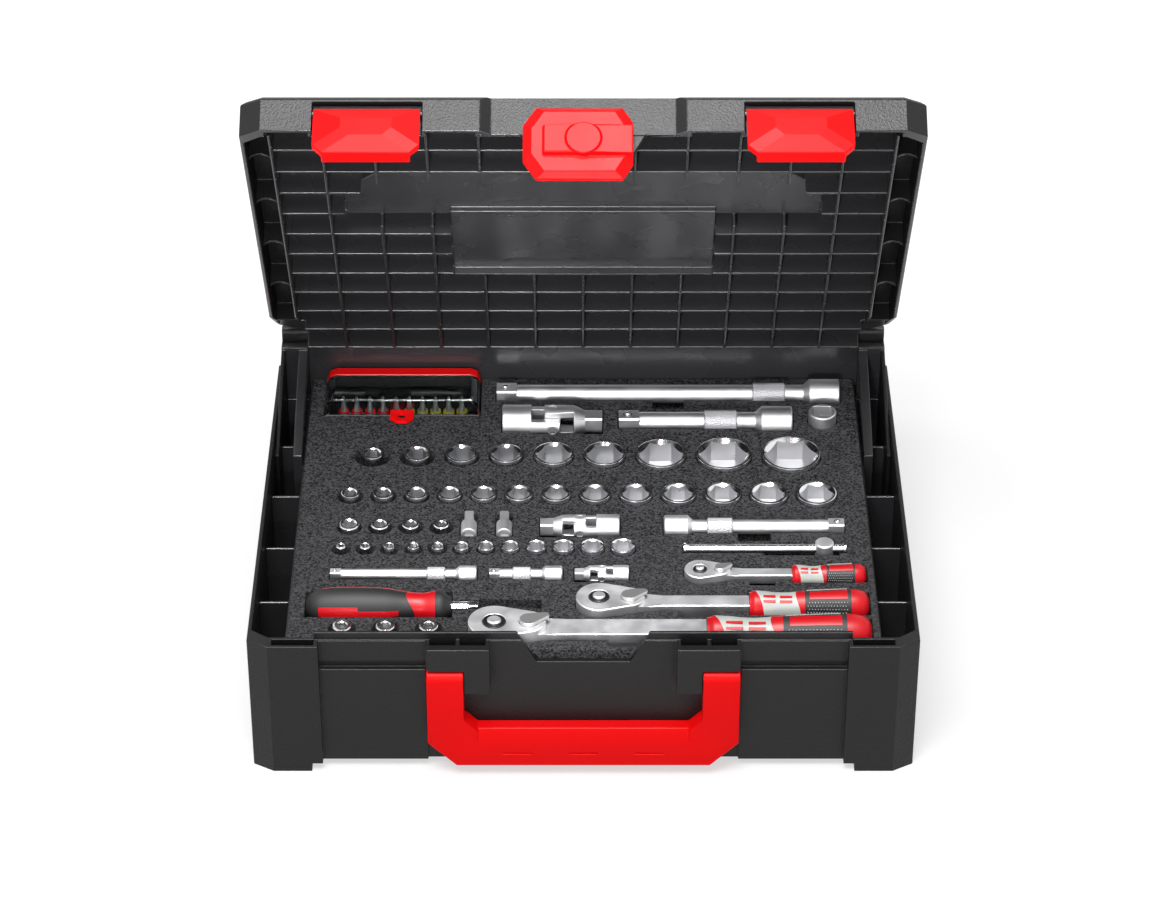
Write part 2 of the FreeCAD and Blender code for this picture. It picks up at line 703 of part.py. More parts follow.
def ratchet(prefix, drive, length, head_radius, thickness, bar_width, grip_diameter, y):
    """Reversible ratchet lying with its drive square down and its lever up."""
    tail = foam_right - ratchet_side_margin
    head_x = tail - length + head_radius
    middle = foam_top - thickness * 0.12
    low = -thickness / 2
    high = thickness / 2
    lever_x = head_radius * 1.32
    lever_radius = head_radius * 0.36
    neck_radius = head_radius * 0.66
    gear_radius = head_radius * 0.62
    collar_radius = head_radius * 0.44
    button_radius = head_radius * 0.27
    bar_half = thickness * 0.3
    grip_length = length * 0.41
    grip_x = length - head_radius - grip_length
    tang = grip_length * 0.3
    lever_sink = thickness * 0.12

    head = two_circle_prism(head_radius, neck_radius, lever_x, low, high)
    throat = plan_prism([(lever_x, -neck_radius * 0.9), (lever_x + neck_radius * 2.2, -bar_width / 2),
                         (lever_x + neck_radius * 2.2, bar_width / 2), (lever_x, neck_radius * 0.9)],
                        -bar_half, bar_half)
    bar = box(lever_x, grip_x + tang, -bar_width / 2, bar_width / 2, -bar_half, bar_half)
    bores = [rod(gear_radius, Vec(0, 0, low - 1), Vec(0, 0, high - 2)),
             rod(collar_radius, Vec(0, 0, low), Vec(0, 0, high + 1)),
             rod(lever_radius + pin_clearance, Vec(lever_x, 0, high - lever_sink),
                 Vec(lever_x, 0, high + 1))]
    body = cut(fuse([head, throat, bar]), bores)

    gear_top = high - 2 - pin_clearance
    anvil = turned([(low + 0.2, gear_radius - pin_clearance), (gear_top, gear_radius - pin_clearance),
                    (gear_top, collar_radius - pin_clearance),
                    (high + 0.4, collar_radius - pin_clearance)], Vec(0, 0, 0), Vec(0, 0, 1))
    square = drive_square(drive, -low - 0.5, -low + drive * 1.05)
    square.rotate(Vec(0, 0, 0), Vec(0, 1, 0), 90)
    button_low = high - 2.5
    well = rod(button_radius + pin_clearance, Vec(0, 0, button_low - button_travel - slide_clearance),
               Vec(0, 0, high + 1))
    anvil = cut(fuse([anvil, square]), well)
    button = turned([(button_low, button_radius), (high + 1.2, button_radius),
                     (high + 2, button_radius * 0.7)], Vec(0, 0, 0), Vec(0, 0, 1))

    thumb = two_circle_prism(lever_radius, lever_radius * 0.45, head_radius * 0.68,
                             high + slide_clearance, high + 2.2)
    hub = rod(lever_radius, Vec(0, 0, high - lever_sink + slide_clearance), Vec(0, 0, high + 2.2))
    lever = fuse([hub, thumb])
    lever.rotate(Vec(0, 0, 0), Vec(0, 0, 1), 22)
    lever.translate(Vec(lever_x, 0, 0))

    grip = turned(grip_profile(grip_length, grip_diameter), Vec(grip_x, 0, 0), Vec(1, 0, 0))
    grip = cut(grip, bar)

    pieces = {"body": body, "drive": anvil, "button": button, "lever": lever, "grip": grip}
    for name, shape in pieces.items():
        shape.translate(Vec(head_x, y, middle))
        save(prefix + "_" + name, [shape])

    spare = pocket_clearance
    floor = foam_top - middle + slide_clearance
    head_pocket = two_circle_prism(head_radius + spare, neck_radius + spare, lever_x,
                                   low - slide_clearance, floor + 1)
    anvil_pocket = rod(drive * 0.66 + spare, Vec(0, 0, low - drive * 1.05 - slide_clearance),
                       Vec(0, 0, floor + 1))
    for shape in (head_pocket, anvil_pocket):
        shape.translate(Vec(head_x, y, middle))
        pocket(shape)
    throat_pocket = plan_prism(
        [(lever_x, -neck_radius - spare), (lever_x + neck_radius * 2.2, -bar_width / 2 - spare),
         (lever_x + neck_radius * 2.2, bar_width / 2 + spare), (lever_x, neck_radius + spare)],
        -bar_half - slide_clearance, floor + 1)
    throat_pocket.translate(Vec(head_x, y, middle))
    pocket(throat_pocket)
    sink = foam_top - middle
    box_pocket(head_x + lever_x, head_x + grip_x, y, bar_width / 2 + 1,
               sink + bar_half + slide_clearance)
    box_pocket(head_x + grip_x, tail, y, grip_diameter / 2, sink + grip_diameter / 2 + slide_clearance)
    finger_pocket(head_x + (lever_x + grip_x) / 2 + bar_width / 2, y + bar_width / 2,
                  head_radius * 1.7, bar_width + finger_width)


def ratchets():
    ratchet("half_inch_ratchet", half_drive, half_ratchet_length, half_head_radius,
            half_head_thickness, half_bar_width, half_grip_diameter, half_ratchet_row_y)
    ratchet("three_eighths_ratchet", three_eighths_drive, three_eighths_ratchet_length,
            three_eighths_head_radius, three_eighths_head_thickness, three_eighths_bar_width,
            three_eighths_grip_diameter, spinner_row_y)
    ratchet("quarter_inch_ratchet", quarter_drive, quarter_ratchet_length, quarter_head_radius,
            quarter_head_thickness, quarter_bar_width, quarter_grip_diameter, quarter_bar_row_y)


# Spinner handle, adapters, bit holders and bit box

def spinner():
    x = foam_left + tray_side_margin
    z = foam_top - spinner_grip_diameter * 0.1
    length = spinner_grip_length
    radius = spinner_grip_diameter / 2
    shares = [(0.0, 0.35), (0.03, 0.66), (0.1, 0.9), (0.3, 1.0), (0.55, 0.94), (0.68, 0.78),
              (0.8, 0.7), (0.93, 0.82), (1.0, 0.5)]
    profile = [(along * length, share * radius) for along, share in shares]
    grip = turned(profile, Vec(x, spinner_row_y, z), Vec(1, 0, 0))
    shank_radius = quarter_drive * 0.6
    grip_end = x + length
    shank = rod(shank_radius, Vec(grip_end - length * 0.3, spinner_row_y, z),
                Vec(grip_end + spinner_shank_length - quarter_drive, spinner_row_y, z))
    square = place(drive_square(quarter_drive, 0, quarter_drive + 0.5),
                   grip_end + spinner_shank_length - quarter_drive - 0.5, spinner_row_y, z, False)
    save("spinner_grip", [cut(grip, shank)])
    save("spinner_shank", [fuse([shank, square])])
    sink = foam_top - z
    box_pocket(x, grip_end, spinner_row_y, radius, sink + radius + slide_clearance)
    box_pocket(grip_end, grip_end + spinner_slot_length, spinner_row_y, quarter_drive * 0.7,
               sink + quarter_drive * 0.7 + slide_clearance)


def adapters():
    """Square-to-square adapters: two lie across the tray, one stands on its square."""
    left = foam_left + three_eighths_row_left + star_row_width
    half = adapter_length * 0.55
    shapes = []
    for i in range(2):
        x = left + adapter_spacing * i + adapter_diameter / 2
        y0 = star_row_y - adapter_length * 0.4
        barrel = turned([(0, adapter_diameter / 2 - 0.6), (0.6, adapter_diameter / 2),
                         (half - 1, adapter_diameter / 2), (half, quarter_drive * 0.6)],
                        Vec(x, y0, foam_top), Vec(0, 1, 0))
        square = drive_square(quarter_drive, half - 0.5, adapter_length)
        square.rotate(Vec(0, 0, 0), Vec(0, 0, 1), 90)
        square.translate(Vec(x, y0, foam_top))
        hole = box(x - quarter_drive / 2, x + quarter_drive / 2, y0 - 1, y0 + quarter_drive,
                   foam_top - quarter_drive / 2, foam_top + quarter_drive / 2)
        shapes.append(cut(fuse([barrel, square]), hole))
        side = adapter_diameter / 2 + pocket_clearance
        pocket(box(x - side, x + side, y0 - pocket_clearance,
                   y0 + adapter_length + pocket_clearance,
                   foam_top - adapter_diameter / 2, foam_top + 1))
    bit_box_right = foam_left + tray_side_margin + bit_box_width
    x = bit_box_right + half_joint_length + half_short_extension_length + tool_gap * 3.4 \
        + half_adapter_diameter / 2
    bottom = foam_top + half_drive * 0.7 - half_adapter_length
    nose = three_eighths_drive
    barrel = turned([(nose, three_eighths_drive * 0.62), (nose + 5, half_adapter_diameter / 2),
                     (half_adapter_length - 0.8, half_adapter_diameter / 2),
                     (half_adapter_length, half_adapter_diameter / 2 - 0.8)],
                    Vec(x, joint_row_y, bottom), Vec(0, 0, 1))
    square = drive_square(three_eighths_drive, -nose - 0.5, 0)
    square.rotate(Vec(0, 0, 0), Vec(0, 1, 0), 90)
    square.translate(Vec(x, joint_row_y, bottom))
    hole = box(x - half_drive / 2, x + half_drive / 2, joint_row_y - half_drive / 2,
               joint_row_y + half_drive / 2, bottom + half_adapter_length - half_drive,
               bottom + half_adapter_length + 1)
    shapes.append(cut(fuse([barrel, square]), hole))
    pocket(rod(half_adapter_diameter / 2 + pocket_clearance, Vec(x, joint_row_y, bottom),
               Vec(x, joint_row_y, foam_top + 1)))
    save("drive_adapters", shapes)


def bit_holders():
    """Three sleeves that take hexagon bits, standing in the front corner of the tray."""
    shapes = []
    bottom = foam_top + socket_proud - holder_length
    y = half_ratchet_row_y + 3
    for i in range(3):
        x = foam_left + tray_side_margin + holder_diameter * 1.5 + holder_spacing * i
        piece = socket(lambda z0, z1: hexagon(bit_size, z0, z1), holder_diameter * 0.75,
                       holder_diameter, three_eighths_drive, holder_length, bit_length * 0.6)
        piece.translate(Vec(x, y, bottom))
        shapes.append(piece)
        pocket(rod(holder_diameter / 2 + pocket_clearance, Vec(x, y, bottom),
                   Vec(x, y, foam_top + 1)))
    save("bit_holders", shapes)


def screw_bit():
    """Hexagon shank with a waist and a tapered tip, standing on its shank."""
    shank = bit_length * 0.55
    waist = bit_size * 0.64
    tip = bit_size * 0.24
    heights = [(0, bit_size), (shank, bit_size), (shank + 2, waist), (bit_length, tip)]
    return loft([[Vec(x, y, z) for x, y in hexagon_points(across)] for z, across in heights])


def bit_box():
    """Box of screwdriver bits: shell, bit rack, bits, clear cover and hanging tab."""
    x0 = foam_left + tray_side_margin
    x1 = x0 + bit_box_width
    y1 = foam_back - bit_box_back_gap
    y0 = y1 - bit_box_depth
    top = foam_top + bit_box_proud
    bottom = top - bit_box_height
    split = foam_top - bit_box_skin
    spine = bit_box_spine
    skin = bit_box_skin
    corner = bit_box_corner
    outline = [(x0, bottom), (x1, bottom), (x1, top - corner), (x1 - corner * 0.3, top - corner * 0.3),
               (x1 - corner, top), (x0 + corner, top), (x0 + corner * 0.3, top - corner * 0.3),
               (x0, top - corner)]
    back_wall = front_prism(outline, y1 - spine, y1)
    tub = cut(box(x0, x1, y0, y1 - spine, bottom, split),
              box(x0 + skin, x1 - skin, y0 + skin, y1 - spine, bottom + skin, split + 1))
    save("bit_box_shell", [fuse([back_wall, tub])])
    rack_y = y0 + bit_rack_from_front
    rack_side = skin + slide_clearance
    rack = box(x0 + rack_side, x1 - rack_side, rack_y - bit_rack_depth / 2,
               rack_y + bit_rack_depth / 2, bottom + skin, bottom + bit_rack_height)
    centres = spread([bit_size] * bit_count, x0 + bit_row_margin, x1 - bit_row_margin)
    bits = []
    for x in centres:
        bit = screw_bit()
        bit.translate(Vec(x, rack_y, bottom + skin * 2))
        bits.append(bit)
    save("bit_rack", [cut(rack, bits)])
    save("bits", bits)
    inner = slide_clearance
    cover_back = y1 - spine - inner
    cover_bottom = split + inner
    cover_outline = [(x0, cover_bottom), (x1, cover_bottom)] + outline[2:]
    hollow = [(x0 + skin, cover_bottom - 1), (x1 - skin, cover_bottom - 1),
              (x1 - skin, top - corner), (x1 - corner, top - skin),
              (x0 + corner, top - skin), (x0 + skin, top - corner)]
    cover = cut(front_prism(cover_outline, y0, cover_back),
                front_prism(hollow, y0 + skin, cover_back + 1))
    save("bit_box_cover", [cover])
    middle = (x0 + x1) / 2
    left = middle - bit_tab_width / 2
    right = middle + bit_tab_width / 2
    end = y0 - bit_tab_reach
    tab_low = foam_top + 1
    tab_top = tab_low + bit_tab_thickness
    tab = plan_prism([(left, y0), (left, end + bit_tab_corner), (left + bit_tab_corner, end),
                      (right - bit_tab_corner, end), (right, end + bit_tab_corner), (right, y0)],
                     tab_low, tab_top)
    hole_y = end + bit_tab_reach / 2
    hole = rod(bit_tab_hole / 2, Vec(middle, hole_y, tab_low - 1), Vec(middle, hole_y, tab_top + 1))
    save("bit_box_tab", [cut(tab, hole)])
    spare = pocket_clearance
    pocket(box(x0 - spare, x1 + spare, y0 - 3 * spare, y1 + spare, bottom, foam_top + 1))


# Foam tray

def foam_tray():
    block = box(foam_left, foam_right, foam_front, foam_back, floor_top, foam_top)
    save("foam_tray", [cut(block, pockets)])


# Case base

latch_centre = half_width - latch_from_side
bay_in = latch_centre - latch_width / 2 - latch_bay_gap
bay_out = latch_centre + latch_width / 2 + latch_bay_gap
band_bottom = rim - catch_band_height
block_split = handle_leg_inner - slide_clearance
handle_pivot = Vec(0, front + handle_pivot_inset, rim - handle_pivot_drop)
leg_top = handle_pivot.z + handle_thickness / 2 + 1
lip_back = front + front_zone
lip_front = lip_back - lip_thickness
rail_top = hinge_z - hinge_radius - knuckle_gap
rail_back = back - back_zone
rail_x = foam_right + foam_gap + liner_thickness
wall_top = hinge_z - hinge_radius - knuckle_gap


def rail_line(y):
    """Height of the rails' sloping top edge."""
    return rail_top - (rail_back - y) * rail_drop / rail_run


def sloped_plate(x0, x1, below):
    """Upright plate under the rails' slope, running forward from the back wall."""
    end = rail_back - rail_run
    return side_prism([(end, rail_line(end) - below), (rail_back + 1, rail_line(rail_back + 1) - below),
                       (rail_back + 1, rail_line(rail_back + 1)), (end, rail_line(end))], x0, x1)


def hinge_centres():
    count = int((2 * half_width - post_width) / knuckle_pitch)
    return [(i - (count - 1) / 2) * knuckle_pitch for i in range(count)]


def knuckles(first):
    """Every second knuckle of the hinge, starting with the first or the second."""
    half = (knuckle_pitch - knuckle_gap) / 2
    return [rod(hinge_radius, Vec(x - half, hinge_y, hinge_z), Vec(x + half, hinge_y, hinge_z))
            for x in hinge_centres()[first::2]]


def hinge_rod(radius):
    reach = half_width - 3 * wall
    return rod(radius, Vec(-reach, hinge_y, hinge_z), Vec(reach, hinge_y, hinge_z))


def notch(margin, y0, y1, low):
    """Tapered opening in the middle of the front wall, or the tongue that fills it."""
    top = rim + lip_height + 1
    slope = (notch_top - notch_bottom) / notch_depth
    wide = notch_top + slope * (top - rim) - margin
    narrow = notch_bottom + slope * (low - rim + notch_depth) - margin
    return front_prism([(-wide, top), (wide, top), (narrow, low), (-narrow, low)], y0, y1)


def front_cuts():
    """Recesses on one half of the front wall."""
    ahead = front - block_proud - 1
    centre_back = front + centre_recess
    groove_low = band_bottom - groove_height
    cell_low = rim - notch_depth
    cell_front = front + wall
    split = (block_inner + bay_in) / 2
    return [
        box(0, block_inner, ahead, centre_back, -1, rim + lip_height + 1),
        box(block_split, bay_in, ahead, centre_back, -1, leg_top),
        box(block_inner - 1, block_split, ahead, centre_back, -1, rim - block_height),
        box(bay_in, bay_out, ahead, front + catch_panel_depth, -1, band_bottom),
        box(bay_in, bay_out, ahead, front + groove_depth, groove_low, band_bottom),
        box(bay_in, bay_out, ahead, front + catch_depth, band_bottom, rim + 1),
        box(block_inner + wall, split - wall / 2, cell_front, lip_front, leg_top + wall, rim + 1),
        box(split + wall / 2, bay_in - wall, cell_front, lip_front, leg_top + wall, rim + 1),
        box(bay_out + wall, half_width - corner_cut_x - wall, cell_front, lip_front, cell_low, rim + 1),
    ]


def base_front():
    """Handle blocks and catch ribs of one half of the front wall."""
    ahead = front - block_proud
    pieces = [box(block_inner, bay_in - latch_bay_gap, ahead, front + 1, leg_top, rim),
              box(block_inner, block_split, ahead, front + 1, rim - block_height, rim)]
    bay = bay_out - bay_in
    rib_half = bay * 0.1
    pieces += [box(latch_centre + side * rib_half - 1.3, latch_centre + side * rib_half + 1.3,
                   front + catch_panel_depth, front + catch_depth + 1, band_bottom, rim)
               for side in (-1, 1)]
    return pieces


def base_shell():
    body = plan_prism(case_outline(0, 0, 0), foot_height, rim)
    cavity = plan_prism(case_outline(wall, front_zone, back_zone), floor_top, rim + 1)
    body = cut(body, cavity)
    lip_reach = bay_out + wall
    lip = box(-lip_reach, lip_reach, lip_front, lip_back, rim - wall, rim + lip_height)
    corner = half_width - post_width
    feet = plan_prism(case_outline(0, 0, 0), 0, foot_height).common(Part.makeCompound(
        [box(x0, x0 + post_width, y0, y0 + foot_depth, 0, foot_height)
         for x0 in (-half_width, corner) for y0 in (front, back - foot_depth)]))
    upper_back = box(-half_width + corner_cut_x, half_width - corner_cut_x, rail_back, back - wall,
                     rim - wall, wall_top)
    pieces = [body, lip, feet, upper_back]

    rail = sloped_plate(rail_x, rail_x + rail_width, rail_depth)
    rail_end = rail_back - rail_run
    pillar = box(rail_x, rail_x + rail_width, rail_end, rail_end + rail_width, foot_height + 1,
                 rail_line(rail_end) - 1)
    cheek_out = half_width - wall - slide_clearance
    cheek = sloped_plate(cheek_out - wall, cheek_out, rail_top)
    cheek = cheek.common(box(0, half_width, front, back, floor_top, hinge_z))
    post = box(rail_x, half_width - wall - slide_clearance, rail_back - rail_width, back - wall,
               foot_height + 1, rail_top)
    liner = box(rail_x - liner_thickness, rail_x, foam_front + 1, foam_back,
                foot_height + 1, foam_top - liner_below_foam)
    count = int(foam_depth / web_pitch) + 1
    webs = [box(rail_x - 1, half_width - wall / 2, y - web_thickness / 2, y + web_thickness / 2,
                foot_height + 1, foam_top - liner_below_foam)
            for y in [(i - (count - 1) / 2) * web_pitch for i in range(count)]]
    pieces += both_sides([rail, pillar, cheek, post, liner] + webs)
    pieces += both_sides(base_front())

    stems = [box(x - knuckle_pitch / 2 + knuckle_gap, x + knuckle_pitch / 2 - knuckle_gap,
                 hinge_y - hinge_radius, hinge_y + hinge_radius - wall, wall_top - 1, hinge_z)
             for x in hinge_centres()[0::2]]
    pieces += knuckles(0) + stems
    start = hinge_centres()[-1]
    hinge_end = [rod(hinge_radius, Vec(start, hinge_y, hinge_z), Vec(cheek_out, hinge_y, hinge_z)),
                 box(start, cheek_out, hinge_y - hinge_radius, hinge_y + hinge_radius - wall,
                     wall_top - 1, hinge_z)]
    pieces += both_sides(hinge_end)
    body = fuse(pieces)

    recess = [box(-corner, corner, rail_back + wall, back + 1, -1, rim - catch_band_height)]
    tools = both_sides(front_cuts()) + recess
    tools += [notch(0, front - 1, lip_back + 1, rim - notch_depth),
              hinge_rod(hinge_pin_diameter / 2)]
    body = cut(body, tools)
    ribs = [box(x - web_thickness / 2, x + web_thickness / 2, rail_back + 1, back - wall,
                foot_height, rim - catch_band_height + 1)
            for x in [i * corner / 2.5 for i in (-2, -1, 0, 1, 2)]]
    body = cut(fuse([body] + ribs), both_sides([handle_pin_rod(handle_pin_diameter / 2)]))
    save("case_base", [body])
    save("hinge_pin", [hinge_rod(hinge_pin_diameter / 2)])


# Carry handle

def handle_pin_rod(radius):
    start = Vec(block_inner + wall, handle_pivot.y, handle_pivot.z)
    end = Vec(handle_leg_inner + handle_leg_width - wall, handle_pivot.y, handle_pivot.z)
    return rod(radius, start, end)


def carry_handle():
    """Flat bail: two legs, cut corners and a grip bevelled for the fingers."""
    half = handle_thickness / 2
    x_in = handle_leg_inner
    x_out = handle_leg_inner + handle_leg_width
    low = handle_pivot.z - handle_drop
    grip_top = low + handle_grip_height
    top = handle_pivot.z
    outer = [(-x_out, top), (-x_out, low + handle_outer_cut), (-x_out + handle_outer_cut, low),
             (x_out - handle_outer_cut, low), (x_out, low + handle_outer_cut), (x_out, top)]
    inner = [(x_in, top), (x_in, grip_top + handle_inner_cut), (x_in - handle_inner_cut, grip_top),
             (-x_in + handle_inner_cut, grip_top), (-x_in, grip_top + handle_inner_cut), (-x_in, top)]
    y0 = handle_pivot.y - half
    bail = front_prism(outer + inner, y0, y0 + handle_thickness)
    ends = [rod(half, Vec(x_in, handle_pivot.y, top), Vec(x_out, handle_pivot.y, top))]
    bail = fuse([bail] + both_sides(ends))
    x_bevel = x_in - handle_inner_cut
    bevel = side_prism([(y0, grip_top - handle_bevel_height), (y0 + handle_bevel_depth, grip_top),
                        (y0 + handle_bevel_depth, grip_top + 1), (y0 - 1, grip_top + 1),
                        (y0 - 1, grip_top - handle_bevel_height)], -x_bevel, x_bevel)
    slit_z = low + handle_grip_height / 3
    slits = [box(x - handle_slit_length / 2, x + handle_slit_length / 2, y0 - 1,
                 y0 + handle_slit_depth, slit_z, slit_z + handle_slit_height)
             for x in (-handle_slit_spacing, 0, handle_slit_spacing)]
    pin_holes = both_sides([handle_pin_rod(handle_pin_diameter / 2 + pin_clearance)])
    bail = cut(bail, [bevel] + slits + pin_holes)
    save("carry_handle", [bail])
    save("handle_pins", both_sides([handle_pin_rod(handle_pin_diameter / 2)]))


# Lid

latch_low = band_bottom - hook_height - slide_clearance
latch_pivot = Vec(0, front + latch_pivot_inset, latch_low + latch_height - latch_barrel_radius)
latch_recess_top = latch_pivot.z + latch_barrel_radius * 2.4
knob_centre = Vec(0, front + knob_panel_depth, rim - notch_depth + knob_above_notch)
lid_back = hinge_inset + hinge_radius + 1


def plateau(margin, z0, z1):
    """Stepped field in the middle of the lid, recessed on the outside for stacking."""
    x = plateau_half_width - margin
    y0 = plateau_front + margin
    y1 = plateau_back - margin
    return plan_prism([(-x, y0 + plateau_cut), (-x + plateau_cut, y0), (x - plateau_cut, y0),
                       (x, y0 + plateau_cut), (x, y1), (-x, y1)], z0, z1)


def well(margin, z0, z1):
    x = well_half_width - margin
    return box(-x, x, plateau_back - well_overlap + margin, well_half_depth - margin, z0, z1)


def lid_ribs():
    """Stiffening grid under the lid's top, left out of the stepped field."""
    side = half_width - ridge_inset
    y0 = lip_front
    y1 = rail_back - 4
    z0 = rib_bottom
    z1 = lid_ceiling + 1
    half = lid_rib_thickness / 2
    rows = int((y1 - y0) / rib_pitch_y)
    columns = int(side / rib_pitch_x)
    ribs = [box(-side, side, y - half, y + half, z0, z1)
            for y in [y1 - half - i * rib_pitch_y for i in range(rows + 1)]]
    ribs += [box(x - half, x + half, y0, y1, z0, z1)
             for x in [i * rib_pitch_x for i in range(-columns, columns + 1)]]
    return cut(fuse(ribs), [plateau(0, z0 - 1, z1 + 1), well(0, z0 - 1, z1 + 1)])


def lid_side():
    """Inner ridge along one side with the bowed webs that brace it."""
    x1 = half_width - ridge_inset
    ridge = box(x1 - lid_rib_thickness, x1, lip_front, rail_back - 4, lid_bottom + 1, lid_ceiling + 1)
    pieces = [ridge]
    channel = ridge_inset - wall
    for i in range(-2, 3):
        y = i * web_pitch
        plate = box(x1 - 1, half_width - wall / 2, y - web_thickness / 2, y + web_thickness / 2,
                    lid_bottom + 1, lid_ceiling + 1)
        bow = rod(channel * 0.62, Vec(x1 + channel / 2, y - web_thickness, lid_bottom),
                  Vec(x1 + channel / 2, y + web_thickness, lid_bottom))
        pieces.append(plate.cut(bow))
    return pieces


def lid_front_cuts():
    ahead = front - 1
    cell = front + wall
    return [box(bay_in, bay_out, ahead, front + latch_recess_depth, lid_bottom - 1, latch_recess_top),
            box(bay_out + wall, half_width - corner_cut_x - wall, cell, lip_front,
                lid_bottom - 1, lid_ceiling),
            box(block_inner + wall * 3, bay_in - wall, cell, lip_front, lid_bottom - 1, lid_ceiling),
            rod(latch_pin_diameter / 2, Vec(bay_in - wall * 2, latch_pivot.y, latch_pivot.z),
                Vec(bay_out + wall * 2, latch_pivot.y, latch_pivot.z))]


def lid_shell():
    body = plan_prism(case_outline(0, 0, lid_back), lid_bottom, lid_top)
    edge = [edge for edge in body.Edges
            if edge.BoundBox.ZMin > lid_top - 0.1 and edge.BoundBox.YMax < back - lid_back - 1]
    body = body.makeChamfer(lid_edge_chamfer, edge)
    inner_front = front_zone - lip_thickness - slide_clearance
    body = cut(body, plan_prism(case_outline(wall, inner_front, -corner_cut_y * 2),
                                lid_bottom - 1, lid_ceiling))
    floor = lid_top - recess_depth - wall
    well_floor = lid_top - well_depth - wall
    pieces = [body, lid_ribs(), plateau(0, floor, lid_ceiling + 1), well(0, well_floor, lid_ceiling + 1)]
    pieces += both_sides(lid_side())
    tongue_back = knob_centre.y + lip_thickness - wall / 2
    tongue = notch(slide_clearance * 2, tongue_back - tongue_thickness, tongue_back,
                   rim - notch_depth + slide_clearance * 2)
    tongue = tongue.cut(box(-half_width, half_width, front - 1, back, lid_bottom + wall, lid_top))
    pieces.append(tongue)
    half = knuckle_pitch / 2 - knuckle_gap
    stems = [box(x - half, x + half, hinge_y - hinge_radius - wall, hinge_y,
                 lid_ceiling - wall / 2, lid_top - 0.2) for x in hinge_centres()[1::2]]
    pieces += knuckles(1) + stems
    body = fuse(pieces)
    slant = block_inner + knob_panel_depth
    panel = plan_prism([(-slant, front - 1), (slant, front - 1),
                        (block_inner - 2, front + knob_panel_depth - tongue_thickness / 2),
                        (-block_inner + 2, front + knob_panel_depth - tongue_thickness / 2)],
                       lid_bottom - 1, lid_top + 1)
    start = rail_back - (rail_top - lid_bottom) * rail_run / rail_drop
    slope = side_prism([(start - 6, lid_bottom - 1), (back, lid_bottom - 1), (back, lid_ceiling),
                        (rail_back - 6, lid_ceiling), (start - 6, lid_bottom)],
                       rail_x - 1, half_width + 1)
    tools = both_sides(lid_front_cuts() + [slope]) + [
        panel, plateau(wall, lid_top - recess_depth, lid_top + 1),
        well(wall, lid_top - well_depth, lid_top + 1),
        hinge_rod(hinge_pin_diameter / 2 + pin_clearance),
        rod(spindle_diameter / 2, Vec(0, front - 1, knob_centre.z), Vec(0, lip_back, knob_centre.z))]
    save("lid_shell", [open_lid(cut(body, tools))])


# Latches and turn knob

def inset_outline(points, y, inset_x, inset_z, centre):
    """Outline moved towards its centre by a fixed distance on each axis."""
    return [Vec(x - math.copysign(inset_x, x - centre[0]), y,
                z - math.copysign(inset_z, z - centre[1])) for x, z in points]


def latch_shape():
    """Draw latch on the closed lid: barrel, faceted plate and hook."""
    half = latch_width / 2
    x0 = latch_centre - half
    x1 = latch_centre + half
    top = latch_pivot.z
    y_back = latch_pivot.y
    y_face = y_back - latch_thickness
    bevel = hook_height * 1.4
    outline = [(x0, top), (x0, latch_low + bevel), (x0 + bevel, latch_low),
               (x1 - bevel, latch_low), (x1, latch_low + bevel), (x1, top)]
    plate = front_prism(outline, y_face, y_back)
    centre = (latch_centre, (top + latch_low) / 2)
    relief = loft([inset_outline(outline, y_face + 0.01, 0.6, 0.4, centre),
                   inset_outline(outline, y_face - latch_relief, latch_relief_side,
                                 latch_relief_end, centre)])
    barrel = rod(latch_barrel_radius, Vec(x0, latch_pivot.y, top), Vec(x1, latch_pivot.y, top))
    hook = box(x0 + bevel, x1 - bevel, y_back - 1, front + groove_depth - 1,
               latch_low, latch_low + hook_height)
    hole = rod(latch_pin_diameter / 2 + pin_clearance, Vec(x0 - 1, latch_pivot.y, top),
               Vec(x1 + 1, latch_pivot.y, top))
    shape = cut(fuse([plate, relief, barrel, hook]), hole)
    return shape.rotated(latch_pivot, Vec(-1, 0, 0), latch_rest_angle)


def latches():
    shape = latch_shape()
    save("latch_right", [open_lid(shape)])
    save("latch_left", [open_lid(mirrored(shape))])
    pin = rod(latch_pin_diameter / 2, Vec(bay_in - wall * 2, latch_pivot.y, latch_pivot.z),
              Vec(bay_out + wall * 2, latch_pivot.y, latch_pivot.z))
    save("latch_pins", [open_lid(shape) for shape in both_sides([pin])])


